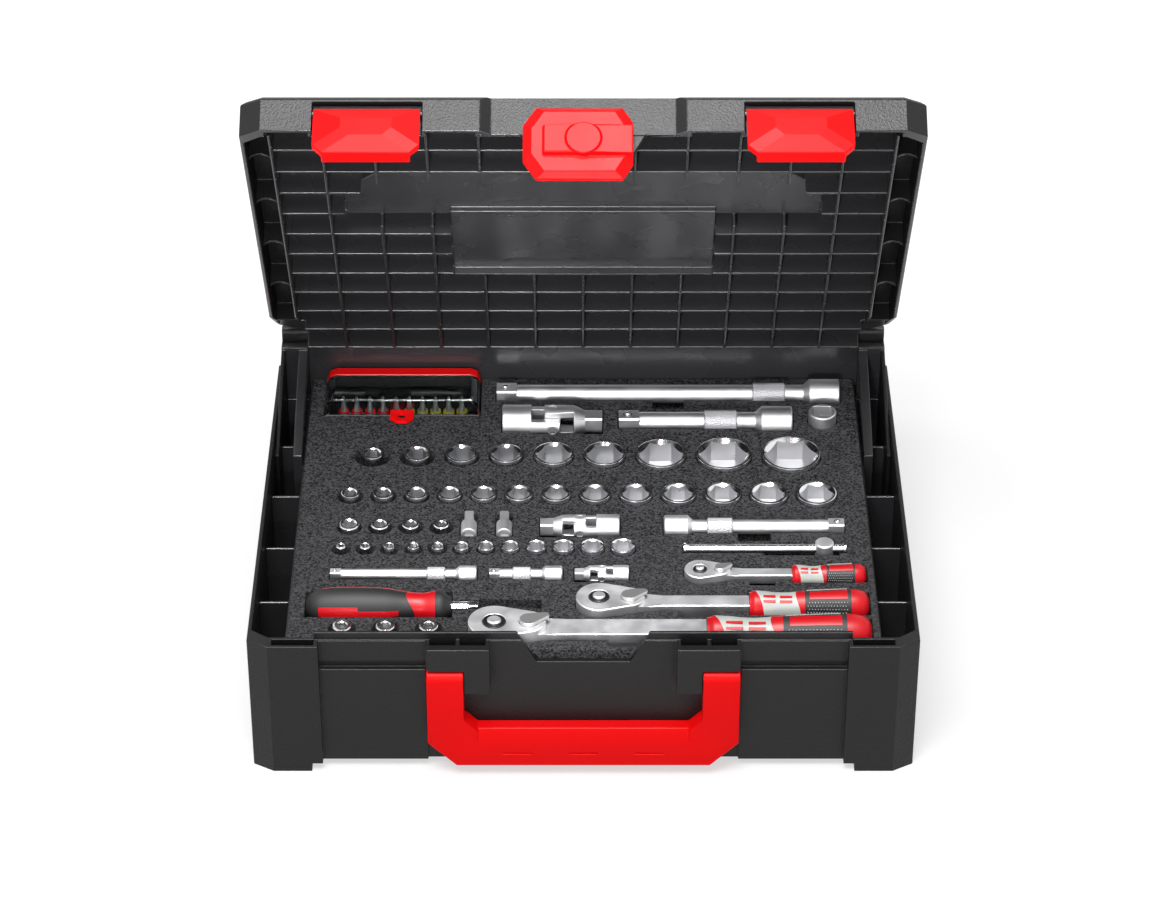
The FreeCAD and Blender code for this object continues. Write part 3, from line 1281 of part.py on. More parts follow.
def turn_knob():
    """Quarter-turn lock knob on the lid's tongue, and the spindle that holds it."""
    tongue_back = knob_centre.y + lip_thickness - wall / 2
    y_back = tongue_back - tongue_thickness - slide_clearance
    y_face = y_back - knob_thickness
    half = knob_height / 2
    bevel = half * 0.42
    z = knob_centre.z
    bow = knob_left * 0.22
    outline = [(-knob_left + bow, z - half), (knob_right - bevel * 0.6, z - half),
               (knob_right, z - half + bevel), (knob_right, z + half - bevel),
               (knob_right - bevel * 0.6, z + half), (-knob_left + bow, z + half),
               (-knob_left, z + half * 0.5), (-knob_left, z - half * 0.5)]
    middle = ((knob_right - knob_left) / 2, z)
    plate = front_prism(outline, y_face + knob_thickness / 2, y_back)
    slope = knob_thickness * 0.8
    y_step = y_face + knob_thickness / 2
    relief = loft([inset_outline(outline, y_step + 0.01, 0, 0, middle),
                   inset_outline(outline, y_face, slope, slope * 0.7, middle)])
    bar = half * 0.46
    bar_left = -knob_left * 0.66
    ridge = loft([[Vec(bar_left, y, z - side), Vec(knob_right, y, z - side),
                   Vec(knob_right, y, z + side), Vec(bar_left, y, z + side)]
                  for y, side in ((y_step, bar), (y_face - knob_ridge, bar - knob_ridge / 2))])
    boss = rod(knob_boss_diameter / 2, Vec(0, y_face, z),
               Vec(0, y_face - knob_ridge - knob_boss_proud, z))
    bore = rod(spindle_diameter / 2 - pin_clearance, Vec(0, y_back + 1, z), Vec(0, y_face, z))
    save("turn_knob", [open_lid(cut(fuse([plate, relief, ridge, boss]), bore))])
    spindle = rod(spindle_diameter / 2 - pin_clearance, Vec(0, y_face, z), Vec(0, tongue_back, z))
    collar = rod(spindle_diameter * 0.8, Vec(0, tongue_back + slide_clearance, z),
                 Vec(0, tongue_back + lip_thickness * 0.8, z))
    stub = rod(spindle_diameter / 2 - pin_clearance, Vec(0, tongue_back - 1, z),
               Vec(0, tongue_back + lip_thickness * 0.5, z))
    save("knob_spindle", [open_lid(fuse([spindle, stub, collar]))])


socket_rows()
bars_and_joints()
ratchets()
spinner()
adapters()
bit_holders()
bit_box()
foam_tray()
base_shell()
carry_handle()
lid_shell()
latches()
turn_knob()
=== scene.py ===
import json
import math

import bmesh
import bpy
from bpy.props import FloatProperty, FloatVectorProperty, IntProperty, PointerProperty
from mathutils import Matrix, Vector
from mathutils.bvhtree import BVHTree


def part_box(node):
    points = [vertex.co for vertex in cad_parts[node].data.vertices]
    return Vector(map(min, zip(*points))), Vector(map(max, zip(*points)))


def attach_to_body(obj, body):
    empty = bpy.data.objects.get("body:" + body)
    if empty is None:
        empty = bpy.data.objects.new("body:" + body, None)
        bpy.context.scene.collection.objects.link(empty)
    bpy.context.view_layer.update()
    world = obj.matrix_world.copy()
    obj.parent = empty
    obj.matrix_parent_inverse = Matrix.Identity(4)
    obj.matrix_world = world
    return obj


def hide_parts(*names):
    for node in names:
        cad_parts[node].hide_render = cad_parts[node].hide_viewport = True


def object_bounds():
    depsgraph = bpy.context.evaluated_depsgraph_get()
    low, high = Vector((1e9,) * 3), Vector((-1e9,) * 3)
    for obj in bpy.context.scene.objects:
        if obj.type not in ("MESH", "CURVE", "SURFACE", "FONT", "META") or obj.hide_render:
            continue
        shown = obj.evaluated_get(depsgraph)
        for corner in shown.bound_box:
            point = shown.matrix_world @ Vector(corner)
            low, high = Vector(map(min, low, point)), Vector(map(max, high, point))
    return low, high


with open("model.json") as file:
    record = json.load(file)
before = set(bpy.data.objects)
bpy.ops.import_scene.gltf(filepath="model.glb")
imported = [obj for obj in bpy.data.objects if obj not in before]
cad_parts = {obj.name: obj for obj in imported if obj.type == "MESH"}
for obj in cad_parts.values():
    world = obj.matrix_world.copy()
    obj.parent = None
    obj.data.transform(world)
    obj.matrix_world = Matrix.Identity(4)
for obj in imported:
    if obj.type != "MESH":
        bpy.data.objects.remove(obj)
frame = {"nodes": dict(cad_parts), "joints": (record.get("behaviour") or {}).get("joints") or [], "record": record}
CAD_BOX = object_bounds()

bl_info = {
    "name": "Socket Wrench Set in Case",
    "version": (1, 0, 0),
    "blender": (4, 5, 0),
    "location": "View3D > Sidebar > Socket Set",
    "description": "Dresses the packed model of a socket wrench set in its carrying case",
    "category": "Object",
}

MM = 0.001
RECORD = frame["record"]
BODY_OF = {node: body for body, nodes in RECORD["behaviour"]["bodies"].items() for node in nodes}
SLOT_OF = {part["node"]: part["material_slot"] for part in RECORD["subparts"]}
JOINTS = {joint["name"]: joint for joint in frame["joints"]}
FOAM_LOW, FOAM_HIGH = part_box("foam_tray")
CASE_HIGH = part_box("case_base")[1]
BIT_BOX_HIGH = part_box("bit_box_shell")[1]
HINGE = Vector(JOINTS["lid_hinge"]["pos_m"])
TILT = Vector((-1, 0, 0))
ALONG = Vector((1, 0, 0))
UP = Vector((0, 0, 1))


def lid_open():
    """Matrix from the closed lid to the lid at rest."""
    angle = -math.radians(JOINTS["lid_hinge"]["range_deg"][0])
    return Matrix.Translation(HINGE) @ Matrix.Rotation(angle, 4, TILT) @ Matrix.Translation(-HINGE)


LID_CLOSED = lid_open().inverted()

# Drive size and shaft diameter in millimetres, and the way along X that the thick end points
EXTENSIONS = {
    "half_inch_extension": (12.7, 13.5, 1),
    "half_inch_short_extension": (12.7, 13.5, 1),
    "three_eighths_extension": (9.5, 10.0, -1),
    "quarter_inch_extension": (6.35, 7.4, 1),
    "quarter_inch_short_extension": (6.35, 7.4, 1),
}
UNIVERSAL_JOINTS = ("half_inch_joint", "three_eighths_joint", "quarter_inch_joint")
RATCHETS = ("half_inch_ratchet", "three_eighths_ratchet", "quarter_inch_ratchet")
# Node, piece, material, rounding in tool edges, and segments of that rounding
RATCHET_PARTS = (
    ("_body", "_forging", "satin_chrome_steel", 2.4, 3),
    ("_drive", "_anvil_turned", "dark_phosphate_steel", 1, 2),
    ("_button", "_button_turned", "satin_chrome_steel", 1, 2),
    ("_lever", "_lever_cast", "bit_steel", 2, 2),
)
SOCKET_ROWS = ("half_inch_sockets", "three_eighths_sockets", "quarter_inch_sockets",
               "star_sockets", "bit_holders")


def linear(code):
    """Linear colour of an sRGB hex value."""
    shares = [int(code[i:i + 2], 16) / 255 for i in (0, 2, 4)]
    return tuple(s / 12.92 if s <= 0.04045 else ((s + 0.055) / 1.055) ** 2.4 for s in shares)


def colour(name, description, code):
    return FloatVectorProperty(name=name, description=description, subtype="COLOR", size=3,
                               min=0, max=1, default=linear(code))


def length(name, description, millimetres):
    return FloatProperty(name=name, description=description, unit="LENGTH", min=0,
                         precision=5, default=millimetres * MM)


def power(name, description, watts):
    return FloatProperty(name=name, description=description, subtype="POWER", default=watts)


class FinishColours(bpy.types.PropertyGroup):
    """Colours of the set's materials."""
    case: colour("Case", "Textured plastic of the case and lid", "171718")
    # Same plastic as the case, made lighter: painted fill light inside the lid and on the back wall, on top of
    # their real smooth, glossier finish
    inner: colour("Case inside", "Smooth plastic inside the lid and the back wall", "2F2F31")
    red: colour("Red plastic", "Latches, knob, carry handle and bit box", "FF0A0E")
    grip_red: colour("Grip red", "Red parts of the tool grips", "E8111F")
    grip_black: colour("Grip black", "Soft black parts of the tool grips", "1B1B1D")
    grip_grey: colour("Grip grey", "Pale panel of the ratchet grips", "D6DBD5")
    foam: colour("Foam", "Closed-cell foam of the tray", "3C3C3E")
    chrome: colour("Chrome", "Polished plate of the sockets", "F0F0F2")
    satin: colour("Satin chrome", "Satin plate of the bars and ratchets", "DEDEE0")
    bore: colour("Bore", "Broached inside of the sockets", "D8D8DA")
    bit: colour("Bit steel", "Bare steel of the screwdriver bits and levers", "8A8B8E")
    phosphate: colour("Phosphate", "Dark steel of the pins and ratchet drives", "4A4A4C")
    cover: colour("Cover", "Clear cover of the bit box", "E6ECEE")
    yellow: colour("Yellow rings", "Rings on one half of the bits", "D9C21E")
    floor: colour("Floor", "Studio floor", "BEBEBE")


class PieceSizes(bpy.types.PropertyGroup):
    """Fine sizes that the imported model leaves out."""
    case_edge: length("Case edge", "Rounding of the base, handle and bit box", 0.55)
    rib_edge: length("Rib edge", "Rounding of the lid's edges and ribs", 0.75)
    red_edge: length("Latch edge", "Rounding of the latches and knob", 0.9)
    cover_edge: length("Cover edge", "Rounding along the top of the bit box's cover", 2.6)
    foam_edge: length("Foam edge", "Rounding of the cut pockets", 0.6)
    tool_edge: length("Tool edge", "Rounding of the steel tools' edges", 0.3)
    knurl_pitch: length("Knurl pitch", "Spacing of the knurl's points", 1.5)
    dot_pitch: length("Dot pitch", "Spacing of the grip's raised dots", 2.3)
    panel_rise: length("Panel rise", "Height of the grip's coloured panels", 0.3)
    ring_sides: IntProperty(name="Ring sides", description="Faces round a turned piece",
                            default=60, min=12, max=120)


class StageSizes(bpy.types.PropertyGroup):
    """Camera and light."""
    lens: FloatProperty(name="Lens", description="Focal length in millimetres",
                        default=116.6, min=10)
    pitch: FloatProperty(name="Pitch", description="Camera's tilt below the horizon",
                         subtype="ANGLE", default=math.radians(34.7))
    key_power: power("Key light", "Power of the large lamp overhead", 80.0)
    fill_power: power("Fill light", "Power of the lamp above the camera", 45.0)
    lid_power: power("Lid light", "Power of the spot on the lid's ribs", 110.0)
    sky: FloatProperty(name="Sky", description="Strength of the even light all round",
                       default=0.4, min=0)


def colours():
    return bpy.context.scene.finish_colours


def sizes():
    return bpy.context.scene.piece_sizes


# Materials

# Size of the slow changes in plastic, plate and cover, and of the foam's cells
CLOUD_MM, SMUDGE_MM, WAVE_MM, CELL_MM = 38, 14, 22, 1.1


def add_node(tree, kind, settings=(), links=()):
    """Add a node, set its inputs or attributes by name, and link its inputs."""
    node = tree.nodes.new(kind)
    for name, value in dict(settings).items():
        if isinstance(name, str) and hasattr(node, name):
            setattr(node, name, value)
        else:
            node.inputs[name].default_value = value
    for name, socket in dict(links).items():
        tree.links.new(socket, node.inputs[name])
    return node


def blank_material(name, base, roughness, metallic=0.0):
    material = bpy.data.materials.new(name)
    material.use_nodes = True
    tree = material.node_tree
    shader = tree.nodes["Principled BSDF"]
    shader.inputs["Base Color"].default_value = (*base, 1)
    shader.inputs["Roughness"].default_value = roughness
    shader.inputs["Metallic"].default_value = metallic
    where = add_node(tree, "ShaderNodeTexCoord").outputs["Object"]
    return material, tree, shader, where


def vary(tree, factor, low, high):
    return add_node(tree, "ShaderNodeMapRange", {"To Min": low, "To Max": high},
                    {"Value": factor}).outputs["Result"]


def tint(tree, factor, base, dark, light):
    """Colour that wanders between a darker and a lighter shade of the base."""
    return add_node(tree, "ShaderNodeMix",
                    {"data_type": "RGBA", 6: (*[c * dark for c in base], 1),
                     7: (*[c * light for c in base], 1)},
                    {0: factor}).outputs[2]


def noise(tree, where, size_mm, detail, roughness=0.5):
    return add_node(tree, "ShaderNodeTexNoise",
                    {"Scale": 1 / (size_mm * MM), "Detail": detail, "Roughness": roughness},
                    {"Vector": where}).outputs["Fac"]


def roughen(tree, shader, height, strength, depth_mm):
    bump = add_node(tree, "ShaderNodeBump", {"Strength": strength, "Distance": depth_mm * MM},
                    {"Height": height})
    tree.links.new(bump.outputs["Normal"], shader.inputs["Normal"])


def moulded_plastic(name, base, roughness, grain_mm, depth_mm, spread=0.14, sheen=0.5):
    """Injection-moulded plastic: a fine spark-eroded grain that breaks up the highlights,
    with slow changes of gloss where the mould cooled unevenly."""
    material, tree, shader, where = blank_material(name, base, roughness)
    shader.inputs["Specular IOR Level"].default_value = sheen
    grain = noise(tree, where, grain_mm, detail=3.0, roughness=0.6)
    cloud = noise(tree, where, CLOUD_MM, detail=2.0)
    tree.links.new(tint(tree, grain, base, 1 - spread, 1 + spread), shader.inputs["Base Color"])
    tree.links.new(vary(tree, cloud, roughness - 0.06, roughness + 0.06),
                   shader.inputs["Roughness"])
    roughen(tree, shader, grain, 0.35, depth_mm)
    return material


def plated_steel(name, base, roughness, line_mm, depth_mm):
    """Chrome plate over steel: bright and colourless, with faint lines of the polishing belt
    running round or along the piece and a breath of uneven gloss."""
    material, tree, shader, where = blank_material(name, base, roughness, 1.0)
    stretched = add_node(tree, "ShaderNodeMapping", {"Scale": (0.06, 1.0, 1.0)}, {"Vector": where})
    lines = noise(tree, stretched.outputs["Vector"], line_mm, detail=2.0)
    smudge = noise(tree, where, SMUDGE_MM, detail=3.0)
    tree.links.new(vary(tree, smudge, roughness * 0.7, roughness * 1.35),
                   shader.inputs["Roughness"])
    roughen(tree, shader, lines, 0.3, depth_mm)
    return material


def closed_cell_foam(name, base):
    """Cross-linked polyethylene foam, cut from a block: open skins of the cells give a matte
    salt-and-pepper speckle. The cells are drawn about three times too coarse, so that they show."""
    material, tree, shader, where = blank_material(name, base, 0.95)
    shader.inputs["Specular IOR Level"].default_value = 0.25
    cells = add_node(tree, "ShaderNodeTexVoronoi", {"Scale": 1 / (CELL_MM * MM)}, {"Vector": where})
    grey = add_node(tree, "ShaderNodeSeparateColor", {}, {"Color": cells.outputs["Color"]})
    tree.links.new(tint(tree, grey.outputs["Red"], base, 0.0, 2.2), shader.inputs["Base Color"])
    roughen(tree, shader, cells.outputs["Distance"], 0.5, 0.25)
    return material


def clear_polycarbonate(name, base):
    """Clear moulded cover: glassy, with sharp highlights and slight flow waves."""
    material, tree, shader, where = blank_material(name, base, 0.06)
    shader.inputs["Transmission Weight"].default_value = 1.0
    shader.inputs["IOR"].default_value = 1.45
    roughen(tree, shader, noise(tree, where, WAVE_MM, detail=1.0), 0.25, 0.4)
    return material


# Maker, colour and measures of each material
FINISHES = {
    "polypropylene_textured": (moulded_plastic, "case", dict(
        roughness=0.42, grain_mm=1.6, depth_mm=1.1, spread=0.4, sheen=0.3)),
    # Inside plastic: a real smoother, glossier finish, with a lighter colour that paints in fill light
    "polypropylene_smooth": (moulded_plastic, "inner", dict(
        roughness=0.27, grain_mm=14.0, depth_mm=0.02, spread=0.05, sheen=0.75)),
    "polyamide_red": (moulded_plastic, "red", dict(
        roughness=0.4, grain_mm=1.5, depth_mm=0.08, spread=0.05, sheen=0.12)),
    "grip_polypropylene_red": (moulded_plastic, "grip_red", dict(
        roughness=0.38, grain_mm=1.5, depth_mm=0.04, spread=0.04, sheen=0.3)),
    "grip_elastomer_black": (moulded_plastic, "grip_black", dict(
        roughness=0.6, grain_mm=0.9, depth_mm=0.1)),
    "grip_polypropylene_grey": (moulded_plastic, "grip_grey", dict(
        roughness=0.45, grain_mm=1.5, depth_mm=0.04, spread=0.03)),
    "ring_yellow": (moulded_plastic, "yellow", dict(
        roughness=0.4, grain_mm=1.5, depth_mm=0.03, spread=0.04)),
    "chrome_plated_steel": (plated_steel, "chrome", dict(
        roughness=0.16, line_mm=1.2, depth_mm=0.01)),
    "satin_chrome_steel": (plated_steel, "satin", dict(
        roughness=0.46, line_mm=0.8, depth_mm=0.02)),
    "broached_steel": (plated_steel, "bore", dict(roughness=0.3, line_mm=0.8, depth_mm=0.02)),
    "bit_steel": (plated_steel, "bit", dict(roughness=0.35, line_mm=0.8, depth_mm=0.02)),
    "dark_phosphate_steel": (plated_steel, "phosphate", dict(
        roughness=0.4, line_mm=0.8, depth_mm=0.02)),
    "polyethylene_foam": (closed_cell_foam, "foam", {}),
    "polycarbonate_clear": (clear_polycarbonate, "cover", {}),
}


def make_finish(name):
    maker, base, measures = FINISHES[name]
    return maker(name, getattr(colours(), base), **measures)


def finish(name):
    return bpy.data.materials.get(name) or make_finish(name)


# Mesh helpers

WELD = 0.002 * MM
# Degrees from which an edge is sharp, on CAD shapes and on turned ones
CREASE, TURNED_CREASE = 34, 32
FLAT = 0.99995
HINGE_REACH = 12 * MM
# How far a rounding may leave the CAD surface, as a share of its width, and how many times that
# marks a point as stray whichever way it lies
SLACK = 0.45
STRAY = 3
# Cosines against the CAD surface: of a point's offset outside it, and of a folded face
CLEAR = -0.1
FOLDED = -0.7


def cad_mesh(node):
    bm = bmesh.new()
    bm.from_mesh(frame["nodes"][node].data)
    return bm


def mesh_from(name, bm):
    mesh = bpy.data.meshes.new(name)
    bm.to_mesh(mesh)
    bm.free()
    return mesh


def add_piece(name, mesh, *finishes):
    piece = bpy.data.objects.new(name, mesh)
    bpy.context.scene.collection.objects.link(piece)
    for material in finishes:
        mesh.materials.append(finish(material))
    return piece


def piece_from(name, bm, *finishes):
    """Object made from a bmesh, smooth except at its sharp edges."""
    bmesh.ops.remove_doubles(bm, verts=bm.verts, dist=WELD)
    bmesh.ops.recalc_face_normals(bm, faces=bm.faces)
    mesh = mesh_from(name, bm)
    mesh.shade_smooth()
    mesh.set_sharp_from_angle(angle=math.radians(TURNED_CREASE))
    return add_piece(name, mesh, *finishes)


def applied(piece):
    """Turn the modifiers' result into the piece's plain mesh."""
    graph = bpy.context.evaluated_depsgraph_get()
    mesh = bpy.data.meshes.new_from_object(piece.evaluated_get(graph), depsgraph=graph,
                                           preserve_all_data_layers=True)
    spare = piece.data
    piece.modifiers.clear()
    piece.data = mesh
    bpy.data.meshes.remove(spare)
    return piece


def is_at_hinge(edge):
    """True for an edge of the lid's hinge."""
    off = sum((vert.co for vert in edge.verts), Vector()) / 2 - HINGE
    return math.hypot(off.y, off.z) < HINGE_REACH


def mark_edges(bm, share=None):
    """Choose the edges for rounding, each with its share of the width; inward ones at the hinge
    stay sharp, as a fillet would bind."""
    weight = bm.edges.layers.float.new("bevel_weight_edge")
    for edge in bm.edges:
        is_sharp = edge.calc_face_angle(0) > math.radians(CREASE)
        if is_sharp and (edge.is_convex or not is_at_hinge(edge)):
            edge[weight] = share(edge) if share else 1.0


def round_edges(piece, width, segments=2):
    bevel = piece.modifiers.new("edges", "BEVEL")
    bevel.width = width
    bevel.segments = segments
    bevel.limit_method = "WEIGHT"
    bevel.use_clamp_overlap = False
    bevel.miter_outer = "MITER_ARC"
    return applied(piece)


def pull_in(piece, node, slack, fold_rounds):
    """Bring points that the rounding threw clear of a CAD node back to its surface, and close
    up the slivers that it folded over, in so many rounds."""
    bm = cad_mesh(node)
    surface = BVHTree.FromBMesh(bm)
    bm.free()

    def is_folded(face):
        _, normal, _, _ = surface.find_nearest(face.calc_center_median())
        return face.normal.dot(normal) < FOLDED

    bm = bmesh.new()
    bm.from_mesh(piece.data)
    for vert in bm.verts:
        place, normal, _, gap = surface.find_nearest(vert.co)
        is_clear = (vert.co - place).dot(normal) > CLEAR * gap
        if gap > slack and is_clear or gap > STRAY * slack:
            vert.co = place
    for _ in range(fold_rounds):
        bm.normal_update()
        folded = [face for face in bm.faces if is_folded(face)]
        if not folded:
            break
        short = [min(face.edges, key=lambda edge: edge.calc_length()) for face in folded]
        bmesh.ops.collapse(bm, edges=list(dict.fromkeys(short)))
    bm.to_mesh(piece.data)
    bm.free()


def shade(piece):
    """Keep large faces flat and let the roundings carry the shading."""
    shading = piece.modifiers.new("shading", "WEIGHTED_NORMAL")
    shading.keep_sharp = True
    return applied(piece)


def settle(piece, node):
    """Let a piece ride in the place of a CAD node, whose own mesh is hidden."""
    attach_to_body(piece, BODY_OF[node])
    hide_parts(node)
    return piece


def attach(piece, node, slot=None):
    """Let a detail ride with a CAD node's body."""
    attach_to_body(piece, BODY_OF[node])
    slot or SLOT_OF[node]
    return piece


def clusters(items, neighbours):
    """Groups of items that hang together, in the order of their first items."""
    items = list(items)
    left = set(items)
    for seed in items:
        if seed not in left:
            continue
        left.remove(seed)
        stack = [seed]
        group = []
        while stack:
            item = stack.pop()
            group.append(item)
            for other in neighbours(item):
                if other in left:
                    left.remove(other)
                    stack.append(other)
        yield group


def flat_areas(bm):
    """Groups of neighbouring faces that lie in one plane."""
    def in_plane(face):
        return [other for edge in face.edges for other in edge.link_faces
                if other.normal.dot(face.normal) > FLAT]
    return clusters(bm.faces, in_plane)


def is_whole(area):
    """True for an area with one outline and no hole."""
    edges = {edge for face in area for edge in face.edges}
    verts = {vert for face in area for vert in face.verts}
    return len(verts) - len(edges) + len(area) == 1


def welded(node):
    """Copy of a CAD node's mesh, merged, with each flat area that has no hole made one face."""
    bm = cad_mesh(node)
    for layers in (bm.loops.layers.float_vector, bm.loops.layers.uv):
        for layer in list(layers.values()):
            layers.remove(layer)
    bmesh.ops.remove_doubles(bm, verts=bm.verts, dist=WELD)
    bm.normal_update()
    for area in list(flat_areas(bm)):
        if len(area) > 1 and is_whole(area):
            bmesh.utils.face_join(area)
    bm.normal_update()
    return bm


def refined(node, name, finish_name, width=None, segments=2, inner=None, inner_finish=None,
            crease=CREASE, share=None, fold_rounds=0):
    """Stand-in for a CAD node with rounded edges, by default as fine as a steel tool's. Faces
    that inner() picks get a second finish; faces that meet at less than the crease angle are
    shaded as one."""
    width = width or sizes().tool_edge
    bm = welded(node)
    mark_edges(bm, share)
    for face in bm.faces:
        face.smooth = True
        face.material_index = int(bool(inner and inner(face)))
    mesh = mesh_from(name, bm)
    mesh.set_sharp_from_angle(angle=math.radians(crease))
    piece = add_piece(name, mesh, *filter(None, (finish_name, inner_finish)))
    round_edges(piece, width, segments)
    pull_in(piece, node, width * SLACK, fold_rounds)
    shade(piece)
    return settle(piece, node)


def islands(node):
    """Corner points of each separate solid of a CAD node."""
    bm = cad_mesh(node)
    bmesh.ops.remove_doubles(bm, verts=bm.verts, dist=WELD)

    def linked(vert):
        return [edge.other_vert(vert) for edge in vert.link_edges]

    found = [[vert.co.copy() for vert in group] for group in clusters(bm.verts, linked)]
    bm.free()
    return sorted(found, key=lambda points: min(p.x for p in points))


def loft_rings(bm, rings):
    """Closed skin over rings of points with equal counts."""
    rows = [[bm.verts.new(point) for point in points] for points in rings]
    count = len(rows[0])
    for a, b in zip(rows, rows[1:]):
        for i in range(count):
            j = (i + 1) % count
            bm.faces.new((a[i], a[j], b[j], b[i]))
    bm.faces.new(rows[0][::-1])
    bm.faces.new(rows[-1])
    return rows


def ring(radius, height, count):
    """Ring about Z; radius and height are numbers or functions of the angle."""
    points = []
    for i in range(count):
        angle = 2 * math.pi * i / count
        r = radius(angle) if callable(radius) else radius
        z = height(angle) if callable(height) else height
        points.append(Vector((r * math.cos(angle), r * math.sin(angle), z)))
    return points


# Geometry Nodes: one small stud at each point of a mesh

def stud_tree():
    """Node group that sets a tapered stud on every vertex, facing along two stored vectors."""
    found = bpy.data.node_groups.get("studs_on_points")
    if found:
        return found
    tree = bpy.data.node_groups.new("studs_on_points", "GeometryNodeTree")
    face = tree.interface
    face.new_socket("Geometry", in_out="OUTPUT", socket_type="NodeSocketGeometry")
    for name, kind in (("Geometry", "NodeSocketGeometry"), ("Length", "NodeSocketFloat"),
                       ("Width", "NodeSocketFloat"), ("Height", "NodeSocketFloat"),
                       ("Sides", "NodeSocketInt"), ("Top Share", "NodeSocketFloat"),
                       ("Twist", "NodeSocketFloat"), ("Material", "NodeSocketMaterial")):
        face.new_socket(name, in_out="INPUT", socket_type=kind)
    given = add_node(tree, "NodeGroupInput").outputs
    stud = add_node(tree, "GeometryNodeMeshCone", {"Radius Bottom": 0.5, "Depth": 1.0},
                    {"Vertices": given["Sides"]})
    half = add_node(tree, "ShaderNodeMath", {"operation": "MULTIPLY", 1: 0.5},
                    {0: given["Top Share"]})
    tree.links.new(half.outputs["Value"], stud.inputs["Radius Top"])
    turn = add_node(tree, "ShaderNodeCombineXYZ", {}, {"Z": given["Twist"]})
    turned = add_node(tree, "GeometryNodeTransform", {},
                      {"Geometry": stud.outputs["Mesh"], "Rotation": turn.outputs["Vector"]})
    scale = add_node(tree, "ShaderNodeCombineXYZ", {},
                     {"X": given["Length"], "Y": given["Width"], "Z": given["Height"]})
    sized = add_node(tree, "GeometryNodeTransform", {},
                     {"Geometry": turned.outputs["Geometry"], "Scale": scale.outputs["Vector"]})
    outward, sideways = (add_node(tree, "GeometryNodeInputNamedAttribute",
                                  {"data_type": "FLOAT_VECTOR", "Name": name}).outputs["Attribute"]
                         for name in ("outward", "sideways"))
    upright = add_node(tree, "FunctionNodeAlignRotationToVector", {"axis": "Z"},
                       {"Vector": outward})
    facing = add_node(tree, "FunctionNodeAlignRotationToVector", {"axis": "X", "pivot_axis": "Z"},
                      {"Rotation": upright.outputs["Rotation"], "Vector": sideways})
    placed = add_node(tree, "GeometryNodeInstanceOnPoints", {},
                      {"Points": given["Geometry"], "Instance": sized.outputs["Geometry"],
                       "Rotation": facing.outputs["Rotation"]})
    real = add_node(tree, "GeometryNodeRealizeInstances", {},
                    {"Geometry": placed.outputs["Instances"]})
    coated = add_node(tree, "GeometryNodeSetMaterial", {},
                      {"Geometry": real.outputs["Geometry"], "Material": given["Material"]})
    add_node(tree, "NodeGroupOutput", {}, {"Geometry": coated.outputs["Geometry"]})
    return tree


def studs(name, points, finish_name, stud_length, stud_width, height, sides=4, top=0.6,
          twist=math.pi / 4):
    """Plain mesh of studs; points holds (place, outward, sideways) vectors."""
    mesh = bpy.data.meshes.new(name)
    mesh.from_pydata([place for place, _, _ in points], [], [])
    for index, label in ((1, "outward"), (2, "sideways")):
        layer = mesh.attributes.new(label, "FLOAT_VECTOR", "POINT")
        layer.data.foreach_set("vector", [c for point in points for c in point[index]])
    piece = add_piece(name, mesh)
    modifier = piece.modifiers.new("studs", "NODES")
    tree = stud_tree()
    modifier.node_group = tree
    square = math.sqrt(2) if sides == 4 and twist else 1.0
    values = {"Length": stud_length * square, "Width": stud_width * square, "Height": height,
              "Sides": sides, "Top Share": top, "Twist": twist if sides == 4 else 0.0,
              "Material": finish(finish_name)}
    for item in tree.interface.items_tree:
        if item.in_out == "INPUT" and item.name in values:
            modifier[item.identifier] = values[item.name]
    return applied(piece)


# Case

BASE_SIDE, BASE_FLOOR, FOAM_GAP = 8 * MM, 12 * MM, 1.2 * MM
LID_SIDE, LID_FRONT, LID_SKIN = 12 * MM, 2.5 * MM, 0.7 * MM


def is_inside_case(face):
    """Faces of the base that show round the foam: smooth as they come from the core, and lighter in colour as
    painted fill light.
    """
    place = face.calc_center_median()
    return (abs(place.x) < CASE_HIGH.x - BASE_SIDE and place.y > FOAM_LOW.y
            and place.y < FOAM_HIGH.y + FOAM_GAP and place.z > BASE_FLOOR)


def is_inside_lid(face):
    """Faces of the lid's underside, judged with the lid closed; they take the lighter inside colour as painted
    fill light.
    """
    place = LID_CLOSED @ face.calc_center_median()
    return (abs(place.x) < CASE_HIGH.x - LID_SIDE and place.y > FOAM_LOW.y - LID_FRONT
            and place.z < HINGE.z - LID_SKIN)


class SET_OT_case(bpy.types.Operator):
    """Base of the case with its pins"""
    bl_idname = "socket_set.case"
    bl_label = "Case Base"

    def execute(self, context):
        refined("case_base", "base_moulding", "polypropylene_textured", sizes().case_edge,
                inner=is_inside_case, inner_finish="polypropylene_smooth")
        refined("hinge_pin", "hinge_rod", "dark_phosphate_steel")
        refined("handle_pins", "handle_rods", "dark_phosphate_steel")
        return {"FINISHED"}


class SET_OT_lid(bpy.types.Operator):
    """Lid with its ribbed underside"""
    bl_idname = "socket_set.lid"
    bl_label = "Lid"

    def execute(self, context):
        refined("lid_shell", "lid_moulding", "polypropylene_textured", sizes().rib_edge, 3,
                inner=is_inside_lid, inner_finish="polypropylene_smooth")
        refined("latch_pins", "latch_rods", "dark_phosphate_steel")
        return {"FINISHED"}


class SET_OT_latches(bpy.types.Operator):
    """Draw latches, and the turn knob with its spindle"""
    bl_idname = "socket_set.latches"
    bl_label = "Latches and Knob"

    def execute(self, context):
        for node in ("latch_left", "latch_right", "turn_knob"):
            refined(node, node + "_moulding", "polyamide_red", sizes().red_edge, 3, crease=2)
        refined("knob_spindle", "knob_axle", "polypropylene_smooth")
        return {"FINISHED"}


class SET_OT_handle(bpy.types.Operator):
    """Carry handle with its thumb pads and slots"""
    bl_idname = "socket_set.handle"
    bl_label = "Carry Handle"

    def execute(self, context):
        refined("carry_handle", "handle_moulding", "polyamide_red", sizes().case_edge, 3)
        return {"FINISHED"}


